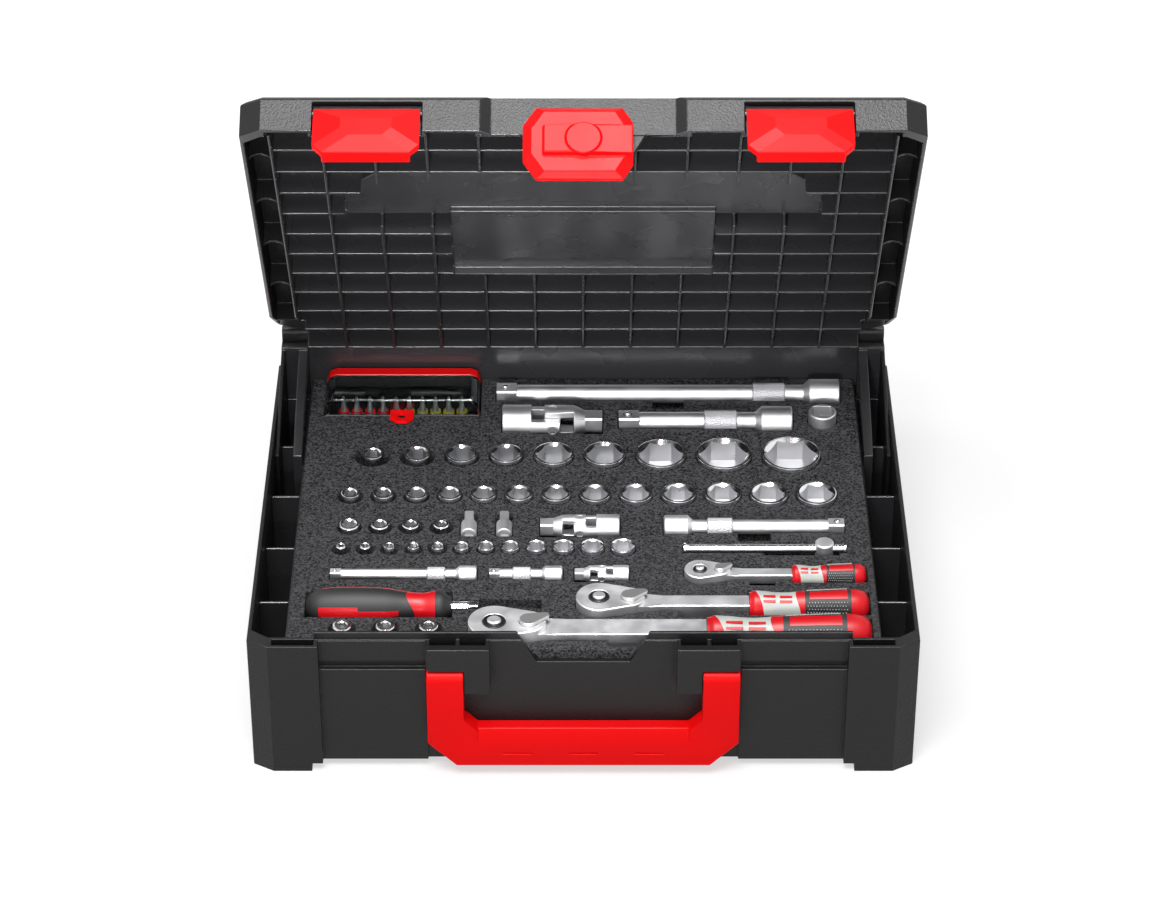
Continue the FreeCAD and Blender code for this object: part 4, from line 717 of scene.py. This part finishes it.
class SET_OT_foam(bpy.types.Operator):
    """Foam tray with its cut pockets"""
    bl_idname = "socket_set.foam"
    bl_label = "Foam Tray"

    def execute(self, context):
        foam = refined("foam_tray", "foam_block", "polyethylene_foam", sizes().foam_edge,
                       fold_rounds=6)
        return {"FINISHED"}


# Sockets

STAR_LOBE = 0.11
MOUTH_SLOPE = 0.75
MOUTH_LEAD = 1.06
# Drilled cone under the mouth: share of the mouth's radius, and depth
DRILL_SHARE, DRILL_DEPTH = 0.55, 0.4 * MM
FOOT_CHAMFER = 0.5 * MM
# Middle of the rim's rounding, in widths of its step
RIM_OUT, RIM_DOWN = 0.7, 0.3


def box_of(points):
    """Lowest and highest corner of some points."""
    return [Vector([pick(p[i] for p in points) for i in range(3)]) for pick in (min, max)]


def socket_measures(points):
    """Centre, outline and openings of a standing socket, read from its solid."""
    low, high = box_of(points)
    centre = Vector(((low.x + high.x) / 2, (low.y + high.y) / 2, 0))
    levels = {}
    for point in points:
        radius = (Vector((point.x, point.y, 0)) - centre).length
        levels.setdefault(round(point.z, 5), []).append(radius)
    mouth = [z for z, radii in levels.items() if len(radii) in (6, 12)]
    square = [z for z, radii in levels.items() if len(radii) == 4]
    outside = sorted((z, max(radii)) for z, radii in levels.items() if len(radii) > 12)
    return {
        "centre": centre,
        "outside": outside,
        "mouth_floor": mouth[0],
        "mouth_radius": max(levels[mouth[0]]),
        "star": len(levels[mouth[0]]) == 12,
        "square_top": square[0],
        "square_half": max(levels[square[0]]) / math.sqrt(2),
    }


def add_socket(bm, found, sides):
    """Turned socket: chamfered mouth over a hexagon or star, square drive hole below."""
    outside = found["outside"]
    low, high = outside[0][0], outside[-1][0]
    corner = found["mouth_radius"]
    flat = corner * math.cos(math.radians(30))

    def hexagon(angle):
        off = (angle + 1e-9) % math.radians(60) - math.radians(30)
        return flat / math.cos(off)

    def star(angle):
        return corner * (1 - STAR_LOBE + STAR_LOBE * math.cos(6 * angle))

    def square(angle):
        return found["square_half"] / max(abs(math.cos(angle)), abs(math.sin(angle)))

    mouth = star if found["star"] else hexagon
    rim = outside[-1][1]
    lead = min(corner * MOUTH_LEAD, (corner + rim) / 2 + 0.1 * MM)
    floor = found["mouth_floor"]
    rings = [ring(lambda a: mouth(a) * DRILL_SHARE, floor - DRILL_DEPTH, sides),
             ring(mouth, floor, sides),
             ring(mouth, lambda a: high - (lead - mouth(a)) * MOUTH_SLOPE, sides),
             ring(lead, high, sides)]
    body = outside[-2][1]
    step = body - rim
    rings += [ring(rim, high, sides),
              ring(rim + step * RIM_OUT, high - step * RIM_DOWN, sides)]
    rings += [ring(radius, z, sides) for z, radius in outside[-2:0:-1]]
    base = outside[0][1]
    rings += [ring(base, low + FOOT_CHAMFER, sides), ring(base - FOOT_CHAMFER, low, sides),
              ring(square, low, sides), ring(square, found["square_top"], sides)]
    first = len(bm.faces)
    rows = loft_rings(bm, rings)
    bmesh.ops.translate(bm, verts=[v for row in rows for v in row], vec=found["centre"])
    bm.faces.ensure_lookup_table()
    bore = bm.faces[first:first + 2 * sides]
    for face in [*bore, bm.faces[first + sides * (len(rows) - 1)]]:
        face.material_index = 1


class SET_OT_sockets(bpy.types.Operator):
    """Rows of sockets and the bit holders"""
    bl_idname = "socket_set.sockets"
    bl_label = "Sockets"

    def execute(self, context):
        for node in SOCKET_ROWS:
            bm = bmesh.new()
            for points in islands(node):
                add_socket(bm, socket_measures(points), sizes().ring_sides)
            settle(piece_from(node + "_turned", bm, "chrome_plated_steel", "broached_steel"), node)
        return {"FINISHED"}


# Bars and joints

# Knurled band of an extension, in diameters of its thick end: distance from that end, and length
BAND_PLACE, BAND_LENGTH = 1.8, 1.1
BAND_CHAMFER = 0.8 * MM
BAND_STEP = 1.6
KNURL_SPREAD, KNURL_ROW, KNURL_HEIGHT = 1.05, 0.6, 0.7 * MM
# Radius and height of a detent ball and its ring, in radii of the ball
BALL_PROFILE = ((1.7, -0.3), (1.7, 0.06), (1.5, 0.12), (1.25, 0.06), (1.2, -0.5), (1.0, -0.5),
                (1.0, 0.1), (0.87, 0.45), (0.55, 0.75), (0.2, 0.86))
BALL_SIDES, BALL_SHARE = 20, 0.15


def ring_points(centre, radius, start, end, pitch):
    """Points of a diamond knurl round a bar along X."""
    points = []
    count = int(2 * math.pi * radius / pitch)
    rows = max(int(abs(end - start) / (pitch * KNURL_ROW)), 2)
    for row in range(rows):
        x = start + (end - start) * (row + 0.5) / rows
        for i in range(count):
            angle = 2 * math.pi * (i + 0.5 * (row % 2)) / count
            outward = Vector((0, math.cos(angle), math.sin(angle)))
            place = Vector((x, centre.y, centre.z)) + outward * radius
            points.append((place, outward, ALONG))
    return points


def ball_detent(bm, place, outward, radius):
    """Ball of a drive square, half sunk in a ring."""
    rings = [ring(radius * r, radius * h, BALL_SIDES) for r, h in BALL_PROFILE]
    turn = outward.to_track_quat("Z", "Y").to_matrix().to_4x4()
    rows = loft_rings(bm, rings)
    bmesh.ops.transform(bm, verts=[v for row in rows for v in row],
                        matrix=Matrix.Translation(place) @ turn)


class SET_OT_extensions(bpy.types.Operator):
    """Extension bars with knurled bands and ball detents"""
    bl_idname = "socket_set.extensions"
    bl_label = "Extension Bars"

    def execute(self, context):
        for node, (drive, shaft, way) in EXTENSIONS.items():
            low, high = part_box(node)
            end = high.y - low.y
            centre = (low + high) / 2
            tip = low.x if way > 0 else high.x
            far = high.x if way > 0 else low.x
            refined(node, node + "_turned", "satin_chrome_steel")
            stop = far - way * (end * BAND_PLACE + BAND_CHAMFER)
            start = stop - way * (end * BAND_LENGTH - 2 * BAND_CHAMFER)
            pitch = sizes().knurl_pitch
            points = ring_points(centre, (shaft + BAND_STEP) / 2 * MM, start, stop, pitch)
            spread = pitch * KNURL_SPREAD
            attach(studs(node + "_knurl", points, "satin_chrome_steel", spread, spread,
                         KNURL_HEIGHT, sides=4, top=0.1, twist=0.0), node)
            bm = bmesh.new()
            place = Vector((tip + way * drive * 0.5 * MM, centre.y, centre.z + drive / 2 * MM))
            ball_detent(bm, place, UP, drive * BALL_SHARE * MM)
            attach(piece_from(node + "_ball", bm, "chrome_plated_steel"), node)
        return {"FINISHED"}


class SET_OT_joints(bpy.types.Operator):
    """Universal joints: two forks on a cross"""
    bl_idname = "socket_set.joints"
    bl_label = "Universal Joints"

    def execute(self, context):
        for joint in UNIVERSAL_JOINTS:
            for part in ("socket_fork", "cross", "drive_fork"):
                node = joint + "_" + part
                refined(node, node + "_forged", "satin_chrome_steel")
        return {"FINISHED"}


class SET_OT_sliding_bar(bpy.types.Operator):
    """Sliding bar with its drive head"""
    bl_idname = "socket_set.sliding_bar"
    bl_label = "Sliding Bar"

    def execute(self, context):
        refined("sliding_bar", "sliding_bar_turned", "chrome_plated_steel")
        refined("sliding_bar_head", "sliding_head_turned", "satin_chrome_steel")
        return {"FINISHED"}


class SET_OT_adapters(bpy.types.Operator):
    """Square drive adapters"""
    bl_idname = "socket_set.adapters"
    bl_label = "Drive Adapters"

    def execute(self, context):
        refined("drive_adapters", "adapters_turned", "satin_chrome_steel")
        return {"FINISHED"}


# Grips

WHOLE_TURN = (-180, 180)
PANEL_ROOT = -0.6 * MM
# Outline along the grip: share of its length, and radius in diameters
RATCHET_GRIP = [(0.0, 0.40), (0.05, 0.46), (0.28, 0.40), (0.46, 0.45), (0.62, 0.48), (0.84, 0.50),
                (0.94, 0.45), (0.985, 0.33), (1.0, 0.18)]
SPINNER_GRIP = [(0.0, 0.175), (0.03, 0.33), (0.1, 0.45), (0.3, 0.50), (0.55, 0.47), (0.68, 0.39),
                (0.8, 0.35), (0.93, 0.41), (1.0, 0.25)]
# Places on a ratchet's grip as shares of its length, and angles in degrees from straight up
COLLAR_START, BAND_END = 0.004, 0.46
INLAY, INLAY_TURN = (0.5, 0.815), (-14, 27)
END_CAP = (0.845, 0.998)
DASH_PLACES, DASH_ANGLES = (0.165, 0.305), (12, 34)
DASH_LENGTH, DASH_WIDTH, DASH_HEIGHT = 0.105, 0.085, 0.5 * MM
DOT_START, DOT_SPAN = 0.485, 0.34
DOT_ANGLES = (-52, -40, -28, 40, 52, 64, 76)
DOT_SHARE, DOT_HEIGHT = 0.4, 0.7 * MM
LARGEST_GRIP = 27 * MM


def smooth_profile(shares):
    """Function through (along, radius) pairs with rounded joins."""
    def slope(i):
        i = min(max(i, 1), len(shares) - 2)
        return (shares[i + 1][1] - shares[i - 1][1]) / (shares[i + 1][0] - shares[i - 1][0])

    def value(at):
        i = max(k for k in range(len(shares) - 1) if shares[k][0] <= at or k == 0)
        (a, ya), (b, yb) = shares[i], shares[i + 1]
        t = min(max((at - a) / (b - a), 0), 1)
        h = b - a
        return ((2 * t ** 3 - 3 * t ** 2 + 1) * ya + (t ** 3 - 2 * t ** 2 + t) * h * slope(i)
                + (-2 * t ** 3 + 3 * t ** 2) * yb + (t ** 3 - t ** 2) * h * slope(i + 1))
    return value


class Grip:
    """Turned handle along X, on which panels are laid by share of length and angle."""

    def __init__(self, node, shares):
        self.node = node
        self.low, self.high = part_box(node)
        self.length = self.high.x - self.low.x
        self.diameter = self.high.y - self.low.y
        self.centre = (self.low + self.high) / 2
        self.profile = smooth_profile(shares)

    def point(self, along, angle, rise=0.0):
        """Surface point; the angle runs from straight up towards the front."""
        radius = self.profile(along) * self.diameter + rise
        return Vector((self.low.x + along * self.length,
                       self.centre.y - radius * math.sin(angle),
                       self.centre.z + radius * math.cos(angle)))

    def outward(self, angle):
        return Vector((0, -math.sin(angle), math.cos(angle)))

    def core(self, name, finish_name, steps=56, sides=48):
        bm = bmesh.new()
        rings = [[self.point(k / steps, -2 * math.pi * i / sides) for i in range(sides)]
                 for k in range(steps + 1)]
        loft_rings(bm, rings)
        return piece_from(name, bm, finish_name)

    def panel(self, bm, start, end, from_angle, to_angle, rise, rows=20, columns=18):
        """Raised panel between two ends, each a share or a function of the angle."""
        whole = abs(to_angle - from_angle) > 359
        first = math.radians(from_angle)
        span = math.radians(to_angle - from_angle)
        sides = 48 if whole else columns

        def cell(i, k, height):
            angle = first + span * i / sides
            a = start(angle) if callable(start) else start
            b = end(angle) if callable(end) else end
            return self.point(a + (b - a) * k / rows, angle, height)

        count = sides if whole else sides + 1
        top = [[bm.verts.new(cell(i, k, rise)) for k in range(rows + 1)] for i in range(count)]
        edge = [[bm.verts.new(cell(i, k, PANEL_ROOT)) for k in (0, rows)] for i in range(count)]
        for i in range(count if whole else count - 1):
            j = (i + 1) % count
            for k in range(rows):
                bm.faces.new((top[i][k], top[i][k + 1], top[j][k + 1], top[j][k]))
            bm.faces.new((edge[i][0], top[i][0], top[j][0], edge[j][0]))
            bm.faces.new((top[i][rows], edge[i][1], edge[j][1], top[j][rows]))
        if not whole:
            for i in (0, count - 1):
                low = [bm.verts.new(cell(i, k, PANEL_ROOT)) for k in range(rows + 1)]
                for k in range(rows):
                    bm.faces.new((low[k], low[k + 1], top[i][k + 1], top[i][k]))


def slant(angle):
    """Where a ratchet's red collar ends."""
    return 0.07 + 0.05 * math.sin(angle)


def waist(angle):
    """Where a ratchet's pale panel ends."""
    return 0.405 - 0.02 * math.cos(2 * angle)


def shoulder(angle):
    """Where the spinner's red band starts."""
    return 0.72 - 0.03 * math.cos(2 * angle)


# Start and end, angles in degrees from straight up, and height in panel rises
SPINNER_PANELS = ((shoulder, 0.89, *WHOLE_TURN, 1), (0.09, 0.36, 54, 84, 1),
                  (0.35, 0.64, 66, 84, 0.9), (0.11, 0.69, -46, -41, 1))


def ratchet_grip(prefix):
    """Two-colour grip: red collar, pale panel with dashes, red band, black palm and red end."""
    node = prefix + "_grip"
    grip = Grip(node, RATCHET_GRIP)
    rise = sizes().panel_rise
    settle(grip.core(prefix + "_palm", "grip_elastomer_black"), node)
    red = bmesh.new()
    grip.panel(red, COLLAR_START, slant, *WHOLE_TURN, rise)
    grip.panel(red, waist, BAND_END, *WHOLE_TURN, rise, rows=6)
    grip.panel(red, *INLAY, *INLAY_TURN, rise)
    grip.panel(red, *END_CAP, *WHOLE_TURN, rise)
    attach(piece_from(prefix + "_red_panels", red, "grip_polypropylene_red"), node)
    grey = bmesh.new()
    grip.panel(grey, slant, waist, *WHOLE_TURN, rise * 0.6)
    attach(piece_from(prefix + "_grey_panel", grey, "grip_polypropylene_grey"), node)

    dashes = []
    for share in DASH_PLACES:
        for angle in DASH_ANGLES:
            turn = math.radians(angle)
            dashes.append((grip.point(share, turn, rise * 0.7), grip.outward(turn), ALONG))
    attach(studs(prefix + "_dashes", dashes, "grip_polypropylene_red", grip.length * DASH_LENGTH,
                 grip.diameter * DASH_WIDTH, DASH_HEIGHT, top=0.94), node)
    pitch = sizes().dot_pitch * grip.diameter / LARGEST_GRIP
    count = int(grip.length * DOT_SPAN / pitch)
    dots = []
    for row, angle in enumerate(DOT_ANGLES):
        turn = math.radians(angle)
        for i in range(count):
            share = DOT_START + (i + 0.5 * (row % 2)) * pitch / grip.length
            dots.append((grip.point(share, turn), grip.outward(turn), ALONG))
    width = pitch * DOT_SHARE
    attach(studs(prefix + "_dots", dots, "grip_polypropylene_grey", width, width, DOT_HEIGHT,
                 sides=8, top=0.7), node)


class SET_OT_ratchets(bpy.types.Operator):
    """Reversible ratchets: head, drive, button, lever and grip"""
    bl_idname = "socket_set.ratchets"
    bl_label = "Ratchets"

    def execute(self, context):
        for prefix in RATCHETS:
            for part, label, finish_name, edges, segments in RATCHET_PARTS:
                refined(prefix + part, prefix + label, finish_name, sizes().tool_edge * edges,
                        segments)
            ratchet_grip(prefix)
        return {"FINISHED"}


class SET_OT_spinner(bpy.types.Operator):
    """Spinner handle with red inlays"""
    bl_idname = "socket_set.spinner"
    bl_label = "Spinner Handle"

    def execute(self, context):
        grip = Grip("spinner_grip", SPINNER_GRIP)
        rise = sizes().panel_rise
        settle(grip.core("spinner_palm", "grip_elastomer_black"), "spinner_grip")
        red = bmesh.new()
        for start, end, from_angle, to_angle, rises in SPINNER_PANELS:
            grip.panel(red, start, end, from_angle, to_angle, rise * rises)
        attach(piece_from("spinner_red_panels", red, "grip_polypropylene_red"), "spinner_grip")
        refined("spinner_shank", "spinner_blade", "chrome_plated_steel")
        return {"FINISHED"}


# Bit box

BACK_WALL = 9.2 * MM
RIM_SHARE = 0.15
RING_WIDTH, RING_HEIGHT = 8.0 * MM, 2.2 * MM
BIT_EDGE = 0.15 * MM


def is_painted_shade_tub(face):
    """Faces of the bit box in front of its back wall, and that wall's front: they take the dark inside colour in
    place of the red shell, as painted shade inside the covered box.
    """
    return face.normal.y < -0.9 or face.calc_center_median().y < BIT_BOX_HIGH.y - BACK_WALL


def cover_share(edge):
    """The cover's upper edges are well rounded, its rim and inside only a little."""
    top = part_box("bit_box_cover")[1].z
    return 1.0 if all(vert.co.z > top - 0.1 * MM for vert in edge.verts) else RIM_SHARE


def bit_rings():
    """Coloured rings round the bits: one half of the row red, the other yellow."""
    points = []
    for corners in islands("bits"):
        low, high = box_of(corners)
        points.append(((low + high) / 2, UP, ALONG))
    half = len(points) // 2
    for name, group, finish_name in (("bit_rings_red", points[:half], "polyamide_red"),
                                     ("bit_rings_yellow", points[half:], "ring_yellow")):
        attach(studs(name, group, finish_name, RING_WIDTH, RING_WIDTH, RING_HEIGHT, sides=24,
                     top=0.96), "bits", "red_plastic")


class SET_OT_bit_box(bpy.types.Operator):
    """Box of screwdriver bits with its clear cover"""
    bl_idname = "socket_set.bit_box"
    bl_label = "Bit Box"

    def execute(self, context):
        # The red shell's tub is painted dark as shade under the cover; only the back wall's top stays red
        refined("bit_box_shell", "bit_box_tub", "polyamide_red", sizes().case_edge, 3,
                inner=is_painted_shade_tub, inner_finish="polypropylene_smooth")
        refined("bit_rack", "bit_rack_moulding", "grip_elastomer_black")
        refined("bits", "bits_ground", "bit_steel", BIT_EDGE)
        bit_rings()
        refined("bit_box_cover", "bit_cover_moulding", "polycarbonate_clear", sizes().cover_edge, 5,
                share=cover_share)
        refined("bit_box_tab", "bit_tab_moulding", "polyamide_red")
        return {"FINISHED"}


# Stage, in metres

# Place of each lamp and the point that it faces
OVERHEAD = (0.0, -0.3, 2.4), (0, 0, 0.3)
FRONT = (-0.3, -1.25, 2.4), (0, 0, 0.1)
LID_SPOT = (-0.15, -1.7, 0.75), (0, 0.05, 0.32)
OVERHEAD_WIDTH, FRONT_WIDTH = 0.9, 1.2
SPOT_ANGLE = 19
CAMERA_PLACE = (-0.0022, -2.1365, 1.6236)
FLOOR_HALF = 8.0


def soft_disk(name, diameter, power):
    lamp = bpy.data.lights.new(name, "AREA")
    lamp.shape = "DISK"
    lamp.size = diameter
    lamp.energy = power
    return lamp


def narrow_spot(name, angle, power):
    lamp = bpy.data.lights.new(name, "SPOT")
    lamp.spot_size = math.radians(angle)
    lamp.spot_blend = 0.6
    lamp.shadow_soft_size = 0.12
    lamp.energy = power
    return lamp


def aimed(name, lamp, place, target):
    light = bpy.data.objects.new(name, lamp)
    bpy.context.scene.collection.objects.link(light)
    light.location = place
    light.rotation_euler = (Vector(target) - Vector(place)).to_track_quat("-Z", "Y").to_euler()
    return light


def seen_white(tree):
    """1 for what the eye, a mirror or a window sees, 0 for what only lights the set."""
    path = add_node(tree, "ShaderNodeLightPath").outputs
    seen = path["Is Camera Ray"]
    for kind in ("Is Glossy Ray", "Is Transmission Ray"):
        seen = add_node(tree, "ShaderNodeMath", {"operation": "MAXIMUM"},
                        {0: seen, 1: path[kind]}).outputs["Value"]
    return seen


def studio_floor():
    """Seamless white floor that keeps the soft shadow under the case."""
    bm = bmesh.new()
    bmesh.ops.create_grid(bm, x_segments=1, y_segments=1, size=FLOOR_HALF)
    mesh = mesh_from("studio_floor", bm)
    material, tree, shader, where = blank_material("matte_floor_paper", colours().floor, 0.9)
    shader.inputs["Specular IOR Level"].default_value = 0.0
    away = add_node(tree, "ShaderNodeVectorMath", {"operation": "LENGTH"}, {0: where})
    lift = add_node(tree, "ShaderNodeMapRange",
                    {"From Min": 0.35, "From Max": 0.95, "To Min": 0.6, "To Max": 0.9},
                    {"Value": away.outputs["Value"]})
    glow = add_node(tree, "ShaderNodeMath", {"operation": "MULTIPLY"},
                    {0: seen_white(tree), 1: lift.outputs["Result"]})
    shader.inputs["Emission Color"].default_value = (1, 1, 1, 1)
    tree.links.new(glow.outputs["Value"], shader.inputs["Emission Strength"])
    floor = bpy.data.objects.new("studio_floor", mesh)
    mesh.materials.append(material)
    bpy.context.scene.collection.objects.link(floor)
    floor.location.z = CAD_BOX[0].z


def studio_sky(strength):
    """White surroundings: full white for the eye and in reflections, softer as light."""
    world = bpy.data.worlds.new("studio")
    bpy.context.scene.world = world
    world.use_nodes = True
    tree = world.node_tree
    tree.nodes.clear()
    level = add_node(tree, "ShaderNodeMapRange", {"To Min": strength, "To Max": 1.0},
                     {"Value": seen_white(tree)})
    light = add_node(tree, "ShaderNodeBackground", {"Color": (1, 1, 1, 1)},
                     {"Strength": level.outputs["Result"]})
    add_node(tree, "ShaderNodeOutputWorld", {}, {"Surface": light.outputs["Background"]})


class SET_OT_stage(bpy.types.Operator):
    """Floor, light and camera"""
    bl_idname = "socket_set.stage"
    bl_label = "Stage"

    def execute(self, context):
        scene = context.scene
        stage = scene.stage_sizes
        studio_floor()
        studio_sky(stage.sky)
        gloss = aimed("overhead", soft_disk("overhead", OVERHEAD_WIDTH, stage.key_power), *OVERHEAD)
        gloss.visible_diffuse = False
        aimed("front", soft_disk("front", FRONT_WIDTH, stage.fill_power), *FRONT)
        aimed("lid_spot", narrow_spot("lid_spot", SPOT_ANGLE, stage.lid_power), *LID_SPOT)
        camera = bpy.data.cameras.new("photo_camera")
        camera.lens = stage.lens
        camera.sensor_width = 36.0
        camera.clip_end = 30.0
        holder = bpy.data.objects.new("photo_camera", camera)
        scene.collection.objects.link(holder)
        holder.location = CAMERA_PLACE
        holder.rotation_euler = (math.radians(90) - stage.pitch, 0, 0)
        scene.camera = holder
        scene.view_settings.view_transform = "Standard"
        return {"FINISHED"}


STEPS = (SET_OT_case, SET_OT_lid, SET_OT_latches, SET_OT_handle, SET_OT_foam, SET_OT_sockets,
         SET_OT_extensions, SET_OT_joints, SET_OT_sliding_bar, SET_OT_adapters, SET_OT_ratchets,
         SET_OT_spinner, SET_OT_bit_box, SET_OT_stage)
GROUPS = {"finish_colours": FinishColours, "piece_sizes": PieceSizes, "stage_sizes": StageSizes}


class SET_PT_panel(bpy.types.Panel):
    """Lists the building steps and what can be changed"""
    bl_idname = "SET_PT_panel"
    bl_label = "Socket Set"
    bl_space_type = "VIEW_3D"
    bl_region_type = "UI"
    bl_category = "Socket Set"

    def draw(self, context):
        for label, group in GROUPS.items():
            column = self.layout.column()
            for name in group.__annotations__:
                column.prop(getattr(context.scene, label), name)
        for step in STEPS:
            self.layout.operator(step.bl_idname)


def register():
    for group in GROUPS.values():
        bpy.utils.register_class(group)
    for label, group in GROUPS.items():
        setattr(bpy.types.Scene, label, PointerProperty(type=group))
    for step in STEPS + (SET_PT_panel,):
        bpy.utils.register_class(step)


def unregister():
    for step in (SET_PT_panel,) + STEPS[::-1]:
        bpy.utils.unregister_class(step)
    for label, group in GROUPS.items():
        delattr(bpy.types.Scene, label)
        bpy.utils.unregister_class(group)


def main():
    register()
    for step in STEPS:
        group, name = step.bl_idname.split(".")
        getattr(getattr(bpy.ops, group), name)()


if __name__ == "__main__":
    main()
